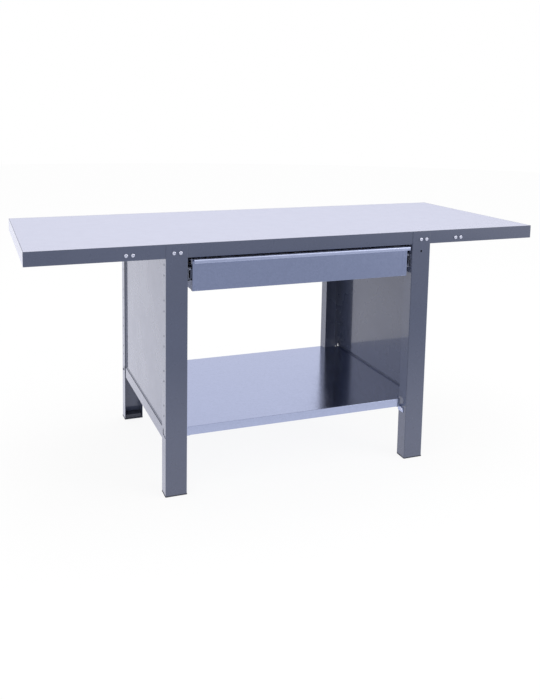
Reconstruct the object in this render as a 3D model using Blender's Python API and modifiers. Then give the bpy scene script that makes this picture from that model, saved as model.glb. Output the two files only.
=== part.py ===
"""Steel workbench: a framed worktop on two side frames, with a lower shelf and one drawer on slides.

Metres, +Z up. X runs along the bench, the front faces -Y, and the origin lies on the floor, centred.
"""

import math

import bmesh
import bpy
from mathutils import Matrix, Vector

# Fits that every piece shares
SEAT_GAP = 0.0003
HOLE_CLEARANCE = 0.0003
CUT_OVERRUN = 0.004
WELD_DISTANCE = 0.00001

# Worktop: a board with a light top sheet, set in a frame of angle-section beams
TOP_LENGTH = 1.900
TOP_DEPTH = 0.700
TOP_HEIGHT = 0.865
SURFACE_THICKNESS = 0.0012
BOARD_THICKNESS = 0.018
BEAM_HEIGHT = 0.048
BEAM_FLANGE = 0.030
BEAM_WALL = 0.002
BEAM_BEND = 0.002

# Cross members under the board, one at each leg pair and one beyond it
MEMBER_WIDTH = 0.050
MEMBER_WALL = 0.002
MEMBER_BEND = 0.002
OUTER_MEMBER_OFFSET = 0.1195
CLINCH_NUT_RADIUS = 0.006
CLINCH_NUT_LENGTH = 0.006

# Bolts through the beams into the cross members
BOLT_RADIUS = 0.004
BOLT_LENGTH = 0.018
BOLT_HEAD_RADIUS = 0.0065
BOLT_HEAD_HEIGHT = 0.0045
BOLT_PITCH = 0.0225
BOLT_RISE = 0.003
LEFT_BOLT_SHIFT = 0.001
RIGHT_BOLT_SHIFT = 0.008

# Legs: channels of bent sheet, web outwards to the front or the rear
SUPPORT_LENGTH = 1.000
LEG_WIDTH = 0.075
LEG_DEPTH = 0.048
LEG_WALL = 0.002
LEG_BEND = 0.003
LEG_TOP_DROP = 0.002
FLANGE_HOLE_RADIUS = 0.0035
FLANGE_HOLE_DROP = 0.023
FLANGE_HOLE_SPACING = 0.036
FLANGE_PAIR_PITCH = 0.120
FLANGE_PAIR_MARGIN = 0.020
SLOT_HEIGHT = 0.022
SLOT_WIDTH = 0.009
SLOT_SHIFT = 0.0088
SLOT_DROP = 0.009
SLOT_TAIL_LENGTH = 0.0285
SLOT_TAIL_WIDTH = 0.006
SLOT_TAIL_DROP = 0.007
SLOT_TAIL_TILT = math.radians(11.5)
SPARE_HOLE_RADIUS = 0.004
SPARE_HOLE_DROP = 0.0025

# Feet: plates with a plug that sits in the leg
FOOT_THICKNESS = 0.003
FOOT_MARGIN = 0.001
FOOT_PLUG_HEIGHT = 0.015
FOOT_PLUG_CLEARANCE = 0.0008

# Shelf: a sheet with lips folded down on four sides and tongues that reach between the legs
SHELF_HEIGHT = 0.225
SHELF_WALL = 0.0012
SHELF_BEND = 0.0015
SHELF_LIP = 0.030
SHELF_LIP_MITRE = 0.001
SHELF_TONGUE_REACH = 0.0225
SHELF_TONGUE_CLEARANCE = 0.007
SHELF_CLEARANCE = 0.0015
SHELF_LEG_CLEARANCE = 0.0048

# Brackets that carry the shelf's tongues, and their bolts
BRACKET_WALL = 0.002
BRACKET_BEND = 0.002
BRACKET_DROP = 0.020
BRACKET_SETBACK = 0.002
BRACKET_DEPTH = 0.034
BRACKET_REACH = 0.019
BRACKET_LEDGE_DEPTH = 0.018
BRACKET_LEDGE_CUT = 0.0025
SHELF_BOLT_RADIUS = 0.003
SHELF_BOLT_LENGTH = 0.014
SHELF_BOLT_HEAD_RADIUS = 0.005
SHELF_BOLT_HEAD_HEIGHT = 0.0035
SHELF_BOLT_DROP = 0.0075

# Side rails and side panels, which run behind the legs' outer flanges
RAIL_HEIGHT = 0.0435
RAIL_DROP = 0.010
RAIL_WALL = 0.0015
RAIL_BEND = 0.0015
RAIL_FLANGE = 0.040
RAIL_LAP = 0.008
PANEL_WALL = 0.0012
PANEL_RECESS = 0.0065
PANEL_LAP = 0.030
PANEL_STEP_MARGIN = 0.002
PANEL_STEP_RUN = 0.004
PANEL_RETURN = 0.020
PANEL_NOTCH_CLEARANCE = 0.001
PANEL_TOP_CLEARANCE = 0.0005

# Drawer
SLIDE_SPACE = 0.017
DRAWER_RECESS = 0.0065
DRAWER_TOP_GAP = 0.005
FRONT_HEIGHT = 0.1075
FRONT_FOLD = 0.015
FRONT_WALL = 0.0012
FRONT_BEND = 0.0015
BODY_LENGTH = 0.605
BODY_HEIGHT = 0.085
BODY_RISE = 0.002
BODY_WALL = 0.001
BODY_BEND = 0.0015
HANDLE_WALL = 0.0018
HANDLE_REACH = 0.0205
HANDLE_DROP = 0.013
HANDLE_CURL = 0.005
HANDLE_SEAT = 0.012
HANDLE_BEND = 0.0025

# Telescopic slides: three channels, one inside the other, with ball cages between them
SLIDE_HEIGHT = 0.046
SLIDE_WALL = 0.0015
MIDDLE_WALL = 0.0012
BALL_GAP = 0.0025
SLIDE_WEB_GAP = 0.0032
INNER_TIP_GAP = 0.0018
LIP_SETBACK = 0.0025
CAGE_WALL = 0.0008
CAGE_LIP_SETBACK = 0.0035
OUTER_SETBACK = 0.0045
MEMBER_SETBACK = 0.001
OUTER_LENGTH = 0.680
MIDDLE_LENGTH = 0.660
OUTER_CAGE_LENGTH = 0.320
INNER_CAGE_LENGTH = 0.300
SLIDE_SCREW_RADIUS = 0.0025

# How finely round shapes are divided
BEND_STEPS = 2
BOLT_STEPS = 12
HOLE_STEPS = 10
BOLT_DOME_STEPS = 3
SHARP_ANGLE = math.radians(35)
FOLD_ANGLE = math.radians(20)

# Places worked out from the sizes above
half_length = TOP_LENGTH / 2
half_depth = TOP_DEPTH / 2
beam_low = TOP_HEIGHT - BEAM_HEIGHT
board_high = TOP_HEIGHT - SURFACE_THICKNESS - SEAT_GAP
board_low = board_high - BOARD_THICKNESS
member_low = beam_low + BEAM_WALL + SEAT_GAP
member_high = board_low - SEAT_GAP
member_end = half_depth - BEAM_WALL - SEAT_GAP
flange_end = half_length - BEAM_WALL - 2 * SEAT_GAP
end_beam_reach = member_end - SEAT_GAP
bolt_height = (member_low + member_high) / 2 + BOLT_RISE
bolt_hole = BOLT_RADIUS + HOLE_CLEARANCE
shelf_bolt_hole = SHELF_BOLT_RADIUS + HOLE_CLEARANCE

support_half = SUPPORT_LENGTH / 2
leg_inner = support_half - LEG_WIDTH
leg_middle = support_half - LEG_WIDTH / 2
leg_back = half_depth + SEAT_GAP
leg_face = leg_back + LEG_WALL
leg_free = leg_face - LEG_DEPTH
leg_bottom = FOOT_THICKNESS + SEAT_GAP
leg_top = TOP_HEIGHT - LEG_TOP_DROP
flange_top = beam_low - SEAT_GAP
flange_middle = leg_face - LEG_DEPTH / 2
flange_hole_top = beam_low - FLANGE_HOLE_DROP
slide_height = flange_hole_top - FLANGE_HOLE_SPACING

shelf_low = SHELF_HEIGHT - SHELF_LIP
behind_flange = support_half - LEG_WALL - SEAT_GAP
shelf_half_length = behind_flange - RAIL_WALL - SHELF_CLEARANCE
shelf_half_depth = leg_free - SHELF_LEG_CLEARANCE
tongue_half_length = leg_inner - SHELF_TONGUE_CLEARANCE
tongue_half_depth = shelf_half_depth + SHELF_TONGUE_REACH
ledge_high = shelf_low - SEAT_GAP
shelf_bolt_height = ledge_high - SHELF_BOLT_DROP
rail_low = shelf_low - RAIL_DROP
rail_high = rail_low + RAIL_HEIGHT
lap_end = leg_free + RAIL_LAP
slot_middle = rail_high - SLOT_DROP
slot_high = slot_middle + SLOT_HEIGHT / 2
panel_low = SHELF_HEIGHT + SEAT_GAP
panel_high = flange_top - PANEL_TOP_CLEARANCE
panel_flat_end = leg_free - PANEL_STEP_MARGIN - PANEL_STEP_RUN
flange_pair_space = slide_height - panel_low - FLANGE_PAIR_MARGIN
flange_pairs = math.floor(flange_pair_space / FLANGE_PAIR_PITCH) + 1

drawer_half = leg_inner - SLIDE_SPACE
drawer_face = -leg_face + DRAWER_RECESS
handle_high = beam_low - DRAWER_TOP_GAP
front_high = handle_high - HANDLE_WALL - SEAT_GAP
front_low = front_high - FRONT_HEIGHT
body_front = drawer_face + FRONT_FOLD + SEAT_GAP
body_rear = body_front + BODY_LENGTH
body_low = front_low + BODY_RISE

outer_front = drawer_face + OUTER_SETBACK
outer_rear = outer_front + OUTER_LENGTH
middle_front = outer_front + MEMBER_SETBACK
middle_rear = middle_front + MIDDLE_LENGTH
slide_screw_places = (-flange_middle, flange_middle)

front_reach = -drawer_face + HANDLE_REACH
rear_reach = leg_face + SEAT_GAP + BOLT_HEAD_HEIGHT
bench_shift = (front_reach - rear_reach) / 2

SIDES = {"left": -1, "right": 1}
ENDS = {"front": -1, "rear": 1}
BOLT_SHIFTS = {"left": LEFT_BOLT_SHIFT, "right": RIGHT_BOLT_SHIFT}


def clear_scene():
    for obj in list(bpy.data.objects):
        bpy.data.objects.remove(obj, do_unlink=True)


def make_material(name, colour, roughness, metallic=0.0):
    material = bpy.data.materials.new(name)
    material.use_nodes = True
    shader = material.node_tree.nodes["Principled BSDF"]
    shader.inputs["Base Color"].default_value = (*colour, 1.0)
    shader.inputs["Roughness"].default_value = roughness
    shader.inputs["Metallic"].default_value = metallic
    material.diffuse_color = (*colour, 1.0)
    return material


def make_collection(name):
    collection = bpy.data.collections.new(name)
    bpy.context.scene.collection.children.link(collection)
    return collection


def make_empty(name, place, parent=None):
    empty = bpy.data.objects.new(name, None)
    empty.location = place
    parts.objects.link(empty)
    empty.parent = parent
    return empty


def add_piece(name, mesh, place, material, parent=None):
    """Links a mesh as one named piece, with its origin at place, under the bench or a given parent."""
    obj = bpy.data.objects.new(name, mesh)
    obj.location = place
    obj.parent = parent or bench
    if not mesh.materials:
        mesh.materials.append(material)
    parts.objects.link(obj)
    return obj


def add_cutter(name, mesh, place):
    cutter = bpy.data.objects.new(name, mesh)
    cutter.location = place
    cutter.parent = bench
    cutter.hide_render = True
    cutter.display_type = "WIRE"
    cutters.objects.link(cutter)
    return cutter


def mesh_from(bm, name):
    mesh = bpy.data.meshes.new(name)
    bm.to_mesh(mesh)
    bm.free()
    return mesh


def box_mesh(name, size):
    bm = bmesh.new()
    bmesh.ops.create_cube(bm, size=1.0, matrix=Matrix.Diagonal((*size, 1.0)))
    return mesh_from(bm, name)


def centre_and_size(low, high):
    low, high = Vector(low), Vector(high)
    return (low + high) / 2, high - low


def box(name, low, high, material, parent=None):
    """A plain block between two corners, given in the bench's coordinates."""
    centre, size = centre_and_size(low, high)
    return add_piece(name, box_mesh(name, size), centre, material, parent)


def box_cutter(name, low, high):
    centre, size = centre_and_size(low, high)
    return add_cutter(name, box_mesh(name, size), centre)


def turn_to(axis):
    """The rotation that carries +Z onto a unit axis."""
    return Vector((0, 0, 1)).rotation_difference(Vector(axis)).to_matrix().to_4x4()


def round_cutter(name, centres, radius, length, axis, steps=HOLE_STEPS):
    """One cutter that holds a round bar at each centre, all along one axis."""
    bm = bmesh.new()
    for centre in centres:
        bmesh.ops.create_cone(
            bm,
            cap_ends=True,
            segments=steps,
            radius1=radius,
            radius2=radius,
            depth=length,
            matrix=Matrix.Translation(Vector(centre)) @ turn_to(axis),
        )
    return add_cutter(name, mesh_from(bm, name), (0, 0, 0))


def boolean(piece, other, operation="DIFFERENCE"):
    modifier = piece.modifiers.new(operation.title(), "BOOLEAN")
    modifier.operation = operation
    modifier.solver = "EXACT"
    modifier.object = other


def fold(piece, bend, wall):
    """Rounds a sheet's fold lines and gives it its wall, towards the back of its faces."""
    if bend:
        bevel = piece.modifiers.new("Bends", "BEVEL")
        bevel.width = bend
        bevel.segments = BEND_STEPS
        bevel.limit_method = "ANGLE"
        bevel.angle_limit = FOLD_ANGLE
    solidify = piece.modifiers.new("Wall", "SOLIDIFY")
    solidify.thickness = wall
    solidify.offset = -1
    solidify.use_even_offset = True


def folded_sheet(name, outline, along, outward, bend, wall, material, parent=None):
    """A sheet folded to an outline and swept along a vector. The outline is its outer face."""
    bm = bmesh.new()
    points = [bm.verts.new(Vector(point)) for point in outline]
    edges = [bm.edges.new(pair) for pair in zip(points, points[1:])]
    swept = bmesh.ops.extrude_edge_only(bm, edges=edges)["geom"]
    moved = [item for item in swept if isinstance(item, bmesh.types.BMVert)]
    bmesh.ops.translate(bm, verts=moved, vec=Vector(along))
    bmesh.ops.recalc_face_normals(bm, faces=bm.faces)
    widest = max(bm.faces, key=lambda face: face.calc_area())
    if widest.normal.dot(Vector(outward)) < 0:
        bmesh.ops.reverse_faces(bm, faces=bm.faces)
    centre = sum((vert.co for vert in bm.verts), Vector()) / len(bm.verts)
    bmesh.ops.translate(bm, verts=bm.verts, vec=-centre)
    piece = add_piece(name, mesh_from(bm, name), centre, material, parent)
    fold(piece, bend, wall)
    return piece


def tray(name, low, high, opening, bend, wall, material, parent=None):
    """A tray folded from one sheet, with a base and four walls, open towards a unit axis."""
    centre, size = centre_and_size(low, high)
    turn = turn_to(opening)
    local = turn.to_3x3().transposed() @ size
    width, depth, height = (abs(side) for side in local)
    bm = bmesh.new()
    flat = Matrix.Translation((0, 0, -height / 2)) @ Matrix.Diagonal((width / 2, depth / 2, 1.0, 1.0))
    bmesh.ops.create_grid(bm, x_segments=1, y_segments=1, size=1.0, matrix=flat)
    swept = bmesh.ops.extrude_edge_only(bm, edges=bm.edges[:])["geom"]
    moved = [item for item in swept if isinstance(item, bmesh.types.BMVert)]
    bmesh.ops.translate(bm, verts=moved, vec=(0, 0, height))
    bmesh.ops.recalc_face_normals(bm, faces=bm.faces)
    base = min(bm.faces, key=lambda face: face.calc_center_median().z)
    if base.normal.z > 0:
        bmesh.ops.reverse_faces(bm, faces=bm.faces)
    bmesh.ops.transform(bm, matrix=turn, verts=bm.verts)
    piece = add_piece(name, mesh_from(bm, name), centre, material, parent)
    fold(piece, bend, wall)
    return piece


def bolt_mesh(name, radius, length, head_radius, head_height):
    """Half the section of a domed bolt, from the crown of the head down to the tip, for a Screw modifier."""
    dome = [
        (head_radius * math.sin(step * math.pi / 2 / BOLT_DOME_STEPS),
         head_height * math.cos(step * math.pi / 2 / BOLT_DOME_STEPS))
        for step in range(BOLT_DOME_STEPS + 1)
    ]
    outline = dome + [(radius, 0), (radius, -length), (0, -length)]
    bm = bmesh.new()
    points = [bm.verts.new((across, 0, up)) for across, up in outline]
    for pair in zip(points, points[1:]):
        bm.edges.new(pair)
    return mesh_from(bm, name)


def bolt(name, mesh, seat, axis):
    """A bolt whose head rests at seat and faces along axis."""
    piece = add_piece(name, mesh, seat, zinc)
    piece.rotation_euler = turn_to(axis).to_euler()
    screw = piece.modifiers.new("Turn", "SCREW")
    screw.axis = "Z"
    screw.steps = BOLT_STEPS
    screw.render_steps = BOLT_STEPS
    screw.use_merge_vertices = True
    screw.merge_threshold = WELD_DISTANCE
    screw.use_smooth_shade = True
    return piece


def ordered(first, second):
    """Two corners sorted into the lowest and the highest."""
    low = tuple(min(pair) for pair in zip(first, second))
    high = tuple(max(pair) for pair in zip(first, second))
    return low, high


def member_places():
    """Name, side and X of each cross member."""
    places = []
    for side, sign in SIDES.items():
        places.append((f"{side}_inner", side, sign * leg_middle + BOLT_SHIFTS[side]))
        places.append((f"{side}_outer", side, sign * (support_half + OUTER_MEMBER_OFFSET)))
    return places


def bolt_xs(middle):
    return (middle - BOLT_PITCH / 2, middle + BOLT_PITCH / 2)


def make_worktop():
    inner_length = half_length - BEAM_WALL - SEAT_GAP
    inner_depth = half_depth - BEAM_WALL - SEAT_GAP
    surface_low = board_high + SEAT_GAP
    for name, low, high, material in (
        ("worktop_board", board_low, board_high, chipboard),
        ("worktop_surface", surface_low, TOP_HEIGHT, laminate),
    ):
        box(name, (-inner_length, -inner_depth, low), (inner_length, inner_depth, high), material)


def make_beams():
    holes = [(x, bolt_height) for _, _, middle in member_places() for x in bolt_xs(middle)]
    for end, sign in ENDS.items():
        face = sign * half_depth
        outline = [
            (-half_length, face, TOP_HEIGHT),
            (-half_length, face, beam_low),
            (-half_length, face - sign * BEAM_FLANGE, beam_low),
        ]
        beam = folded_sheet(f"{end}_beam", outline, (TOP_LENGTH, 0, 0), (0, sign, 0),
                            BEAM_BEND, BEAM_WALL, paint)
        centres = [(x, face, z) for x, z in holes]
        length = 2 * (BEAM_WALL + CUT_OVERRUN)
        boolean(beam, round_cutter(f"{end}_beam_holes", centres, bolt_hole, length, (0, 1, 0)))
        for side, way in SIDES.items():
            corner = (way * flange_end, sign * member_end, beam_low - CUT_OVERRUN)
            beyond = (way * (half_length + CUT_OVERRUN), sign * (half_depth - BEAM_FLANGE - CUT_OVERRUN),
                      beam_low + CUT_OVERRUN)
            boolean(beam, box_cutter(f"{end}_{side}_beam_trim", *ordered(corner, beyond)))
    for side, sign in SIDES.items():
        face = sign * half_length
        outline = [
            (face, -end_beam_reach, TOP_HEIGHT),
            (face, -end_beam_reach, beam_low),
            (face - sign * BEAM_FLANGE, -end_beam_reach, beam_low),
        ]
        beam = folded_sheet(f"{side}_end_beam", outline, (0, 2 * end_beam_reach, 0), (sign, 0, 0),
                            BEAM_BEND, BEAM_WALL, paint)
        for end, way in ENDS.items():
            corner = (sign * (flange_end + SEAT_GAP), way * (half_depth - BEAM_FLANGE - SEAT_GAP),
                      beam_low - CUT_OVERRUN)
            beyond = (face - sign * (BEAM_FLANGE + CUT_OVERRUN), way * half_depth, beam_low + CUT_OVERRUN)
            boolean(beam, box_cutter(f"{side}_{end}_beam_notch", *ordered(corner, beyond)))


def make_cross_members():
    for name, _, middle in member_places():
        low = (middle - MEMBER_WIDTH / 2, -member_end, member_low)
        high = (middle + MEMBER_WIDTH / 2, member_end, member_high)
        member = tray(f"{name}_cross_member", low, high, (0, 0, -1), MEMBER_BEND, MEMBER_WALL, paint)
        nut_reach = member_end - MEMBER_WALL / 2
        for end, sign in ENDS.items():
            nut_middle = sign * (nut_reach - CLINCH_NUT_LENGTH / 2)
            nuts = [(x, nut_middle, bolt_height) for x in bolt_xs(middle)]
            tag = f"{name}_{end}"
            nut_shape = round_cutter(f"{tag}_nuts", nuts, CLINCH_NUT_RADIUS, CLINCH_NUT_LENGTH, (0, 1, 0))
            boolean(member, nut_shape, "UNION")
            holes = [(x, sign * member_end, bolt_height) for x in bolt_xs(middle)]
            length = 2 * (CLINCH_NUT_LENGTH + MEMBER_WALL + CUT_OVERRUN)
            boolean(member, round_cutter(f"{tag}_holes", holes, bolt_hole, length, (0, 1, 0)))


def flange_hole_heights():
    heights = []
    for pair in range(flange_pairs):
        top = flange_hole_top - pair * FLANGE_PAIR_PITCH
        heights += [top, top - FLANGE_HOLE_SPACING]
    return heights


def slot_cutters(name, sign, way):
    """The upright and the sloping tail of a slot through a leg's outer flange, beside the side rail's end."""
    through = 2 * (LEG_WALL + CUT_OVERRUN)
    x = sign * support_half
    y = flange_middle - SLOT_SHIFT
    upright = bmesh.new()
    bmesh.ops.create_cube(upright, size=1.0, matrix=Matrix.Diagonal((through, SLOT_WIDTH, SLOT_HEIGHT, 1.0)))
    tail = bmesh.new()
    size = (through, SLOT_TAIL_LENGTH, SLOT_TAIL_WIDTH, 1.0)
    bmesh.ops.create_cube(tail, size=1.0, matrix=Matrix.Diagonal(size))
    bmesh.ops.rotate(tail, verts=tail.verts, matrix=Matrix.Rotation(-way * SLOT_TAIL_TILT, 3, "X"))
    tail_y = y + SLOT_TAIL_LENGTH / 2 * math.cos(SLOT_TAIL_TILT)
    tail_z = slot_middle - SLOT_TAIL_DROP - SLOT_TAIL_LENGTH / 2 * math.sin(SLOT_TAIL_TILT)
    return [
        add_cutter(f"{name}_upright", mesh_from(upright, f"{name}_upright"), (x, way * y, slot_middle)),
        add_cutter(f"{name}_tail", mesh_from(tail, f"{name}_tail"), (x, way * tail_y, tail_z)),
    ]


def make_leg(side, end):
    sign, way = SIDES[side], ENDS[end]
    name = f"{end}_{side}_leg"
    outline = [
        (sign * leg_inner, way * leg_free, leg_bottom),
        (sign * leg_inner, way * leg_face, leg_bottom),
        (sign * support_half, way * leg_face, leg_bottom),
        (sign * support_half, way * leg_free, leg_bottom),
    ]
    leg = folded_sheet(name, outline, (0, 0, leg_top - leg_bottom), (0, way, 0), LEG_BEND, LEG_WALL, paint)
    corner = (sign * (leg_inner - CUT_OVERRUN), way * leg_back, flange_top)
    beyond = (sign * (support_half + CUT_OVERRUN), way * (leg_free - CUT_OVERRUN), leg_top + CUT_OVERRUN)
    boolean(leg, box_cutter(f"{name}_flange_tops", *ordered(corner, beyond)))
    through = 2 * (LEG_WALL + CUT_OVERRUN)
    middle = sign * leg_middle + BOLT_SHIFTS[side]
    bolt_holes = [(x, way * leg_face, bolt_height) for x in bolt_xs(middle)]
    boolean(leg, round_cutter(f"{name}_bolt_holes", bolt_holes, bolt_hole, through, (0, 1, 0)))
    outer_holes = [(sign * support_half, way * flange_middle, height) for height in flange_hole_heights()]
    boolean(leg, round_cutter(f"{name}_flange_holes", outer_holes, FLANGE_HOLE_RADIUS, through, (1, 0, 0)))
    for cutter in slot_cutters(f"{name}_slot", sign, way):
        boolean(leg, cutter)
    shelf_hole = [(sign * leg_inner, way * flange_middle, shelf_bolt_height)]
    boolean(leg, round_cutter(f"{name}_shelf_hole", shelf_hole, shelf_bolt_hole, through, (1, 0, 0)))
    screw_hole = [(sign * leg_inner, way * flange_middle, slide_height)]
    boolean(leg, round_cutter(f"{name}_screw_hole", screw_hole, SLIDE_SCREW_RADIUS, through, (1, 0, 0)))
    if (side, end) == ("right", "front"):
        spare = [(sign * leg_middle, way * leg_face, flange_hole_top - SPARE_HOLE_DROP)]
        boolean(leg, round_cutter(f"{name}_spare_hole", spare, SPARE_HOLE_RADIUS, through, (0, 1, 0)))


def make_foot(side, end):
    sign, way = SIDES[side], ENDS[end]
    name = f"{end}_{side}_foot"
    first = (sign * (leg_inner - FOOT_MARGIN), way * (leg_face + FOOT_MARGIN), 0)
    second = (sign * (support_half + FOOT_MARGIN), way * (leg_free - FOOT_MARGIN), FOOT_THICKNESS)
    foot = box(name, *ordered(first, second), black_plastic)
    inset = LEG_WALL + FOOT_PLUG_CLEARANCE
    corner_inset = inset + (LEG_BEND - LEG_WALL)
    first = (sign * (leg_inner + corner_inset), way * (leg_face - inset), FOOT_THICKNESS / 2)
    second = (sign * (support_half - corner_inset), way * leg_free, FOOT_THICKNESS + FOOT_PLUG_HEIGHT)
    boolean(foot, box_cutter(f"{name}_plug", *ordered(first, second)), "UNION")


def stepped_outline(flat, height):
    """Plan line of a panel that steps outwards beside the legs and laps behind their outer flanges."""
    near = [
        (flat, panel_flat_end, height),
        (math.copysign(behind_flange, flat), panel_flat_end + PANEL_STEP_RUN, height),
        (math.copysign(behind_flange, flat), leg_free + PANEL_LAP, height),
    ]
    far = [(x, -y, z) for x, y, z in reversed(near)]
    return far + near


def make_side(side):
    """The side panel and the rail below it."""
    sign = SIDES[side]
    flat = sign * (support_half - PANEL_RECESS)
    panel = folded_sheet(f"{side}_side_panel", stepped_outline(flat, panel_low),
                         (0, 0, panel_high - panel_low), (sign, 0, 0), 0, PANEL_WALL, paint)
    first = (flat - sign * PANEL_WALL / 2, -leg_free, panel_high - PANEL_WALL)
    second = (flat - sign * PANEL_RETURN, leg_free, panel_high)
    boolean(panel, box_cutter(f"{side}_panel_return", *ordered(first, second)), "UNION")
    notches = {
        "rail_notch": (panel_flat_end - PANEL_NOTCH_CLEARANCE, rail_high + SEAT_GAP),
        "slot_notch": (lap_end, slot_high + PANEL_NOTCH_CLEARANCE),
    }
    for end, way in ENDS.items():
        for notch, (start, height) in notches.items():
            corner = (flat - sign * (PANEL_WALL + CUT_OVERRUN), way * start, panel_low - CUT_OVERRUN)
            beyond = (sign * support_half, way * leg_face, height)
            boolean(panel, box_cutter(f"{side}_{end}_panel_{notch}", *ordered(corner, beyond)))
    outline = [
        (sign * behind_flange, -lap_end, rail_high),
        (sign * behind_flange, -lap_end, rail_low),
        (sign * (behind_flange - RAIL_FLANGE), -lap_end, rail_low),
    ]
    rail = folded_sheet(f"{side}_side_rail", outline, (0, 2 * lap_end, 0), (sign, 0, 0),
                        RAIL_BEND, RAIL_WALL, paint)
    notch = sign * (behind_flange - RAIL_WALL - RAIL_BEND)
    tip = sign * (behind_flange - RAIL_FLANGE - CUT_OVERRUN)
    for end, way in ENDS.items():
        corner = (notch, way * shelf_half_depth, rail_low - CUT_OVERRUN)
        beyond = (tip, way * (lap_end + CUT_OVERRUN), rail_low + CUT_OVERRUN)
        boolean(rail, box_cutter(f"{side}_{end}_rail_notch", *ordered(corner, beyond)))


def make_shelf():
    """Lips hang from the two tongues and from both ends, and the corners are notched for the legs."""
    xs = (-shelf_half_length, -tongue_half_length, tongue_half_length, shelf_half_length)
    ys = (-tongue_half_depth, -shelf_half_depth, shelf_half_depth, tongue_half_depth)
    bm = bmesh.new()
    bmesh.ops.create_grid(bm, x_segments=3, y_segments=3, size=1.0)
    for vert in bm.verts:
        column = round((vert.co.x + 1) * 3 / 2)
        row = round((vert.co.y + 1) * 3 / 2)
        vert.co = (xs[column], ys[row], 0)
    corners = [
        face for face in bm.faces
        if abs(face.calc_center_median().x) > tongue_half_length
        and abs(face.calc_center_median().y) > shelf_half_depth
    ]
    bmesh.ops.delete(bm, geom=corners, context="FACES")

    def on_line(edge, axis, value):
        return all(math.isclose(abs(vert.co[axis]), value, abs_tol=WELD_DISTANCE) for vert in edge.verts)

    end_drop = SHELF_LIP + RAIL_DROP - RAIL_WALL - SEAT_GAP
    for axis, value, drop in ((1, tongue_half_depth, SHELF_LIP), (0, shelf_half_length, end_drop)):
        edges = [edge for edge in bm.edges if edge.is_boundary and on_line(edge, axis, value)]
        swept = bmesh.ops.extrude_edge_only(bm, edges=edges)["geom"]
        hem = [item for item in swept if isinstance(item, bmesh.types.BMVert)]
        for vert in hem:
            vert.co.z -= drop
            along = 1 - axis
            vert.co[along] -= math.copysign(SHELF_LIP_MITRE, vert.co[along])
    bmesh.ops.recalc_face_normals(bm, faces=bm.faces)
    widest = max(bm.faces, key=lambda face: face.calc_area())
    if widest.normal.z < 0:
        bmesh.ops.reverse_faces(bm, faces=bm.faces)
    shelf = add_piece("shelf", mesh_from(bm, "shelf"), (0, 0, SHELF_HEIGHT), galvanised)
    fold(shelf, SHELF_BEND, SHELF_WALL)


def make_shelf_bracket(side, end, bolt_shape):
    sign, way = SIDES[side], ENDS[end]
    name = f"{end}_{side}_shelf_bracket"
    plate = sign * (leg_inner - SEAT_GAP)
    start = leg_free - BRACKET_SETBACK
    outline = [
        (plate, way * start, ledge_high - BRACKET_DROP),
        (plate, way * start, ledge_high),
        (plate - sign * BRACKET_REACH, way * start, ledge_high),
    ]
    bracket = folded_sheet(name, outline, (0, way * BRACKET_DEPTH, 0), (0, 0, 1),
                           BRACKET_BEND, BRACKET_WALL, galvanised)
    hole = [(plate, way * flange_middle, shelf_bolt_height)]
    length = 2 * (BRACKET_WALL + CUT_OVERRUN)
    boolean(bracket, round_cutter(f"{name}_hole", hole, shelf_bolt_hole, length, (1, 0, 0)))
    first = (plate + sign * CUT_OVERRUN, way * (start + BRACKET_LEDGE_DEPTH), ledge_high - BRACKET_LEDGE_CUT)
    second = (plate - sign * (BRACKET_REACH + CUT_OVERRUN), way * (start + BRACKET_DEPTH + CUT_OVERRUN),
              ledge_high + CUT_OVERRUN)
    boolean(bracket, box_cutter(f"{name}_ledge_cut", *ordered(first, second)))
    seat = (plate - sign * (BRACKET_WALL + SEAT_GAP), way * flange_middle, shelf_bolt_height)
    bolt(f"{end}_{side}_shelf_bolt", bolt_shape, seat, (-sign, 0, 0))


def make_frame_bolts(shape):
    for name, side, middle in member_places():
        holds_leg = name.endswith("inner")
        for end, way in ENDS.items():
            face = (leg_face if holds_leg else half_depth) + SEAT_GAP
            label = "leg" if holds_leg else "overhang"
            for place, x in zip(("a", "b"), bolt_xs(middle)):
                bolt(f"{end}_{side}_{label}_bolt_{place}", shape, (x, way * face, bolt_height), (0, way, 0))


def make_drawer():
    centre = Vector((0, drawer_face, (front_low + front_high) / 2))
    rig = make_empty("drawer", centre, bench)

    def moved(corner):
        return Vector(corner) - centre

    tray("drawer_front", moved((-drawer_half, drawer_face, front_low)),
         moved((drawer_half, drawer_face + FRONT_FOLD, front_high)), (0, 1, 0),
         FRONT_BEND, FRONT_WALL, galvanised, rig)
    tray("drawer_body", moved((-drawer_half, body_front, body_low)),
         moved((drawer_half, body_rear, body_low + BODY_HEIGHT)), (0, 0, 1),
         BODY_BEND, BODY_WALL, galvanised, rig)
    lip = drawer_face - HANDLE_REACH
    low = handle_high - HANDLE_DROP
    outline = [
        moved((-drawer_half, lip + HANDLE_CURL, low)),
        moved((-drawer_half, lip, low)),
        moved((-drawer_half, lip, handle_high)),
        moved((-drawer_half, drawer_face + HANDLE_SEAT, handle_high)),
    ]
    folded_sheet("drawer_handle", outline, (2 * drawer_half, 0, 0), (0, 0, 1),
                 HANDLE_BEND, HANDLE_WALL, aluminium, rig)


def channel(name, web, lips, half_height, front, length, wall, outward, material):
    """A slide's channel along Y. web and lips are the X of its outer face and of its free edges."""
    outline = [
        (lips, front, slide_height + half_height),
        (web, front, slide_height + half_height),
        (web, front, slide_height - half_height),
        (lips, front, slide_height - half_height),
    ]
    return folded_sheet(name, outline, (0, length, 0), outward, 0, wall, material)


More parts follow.
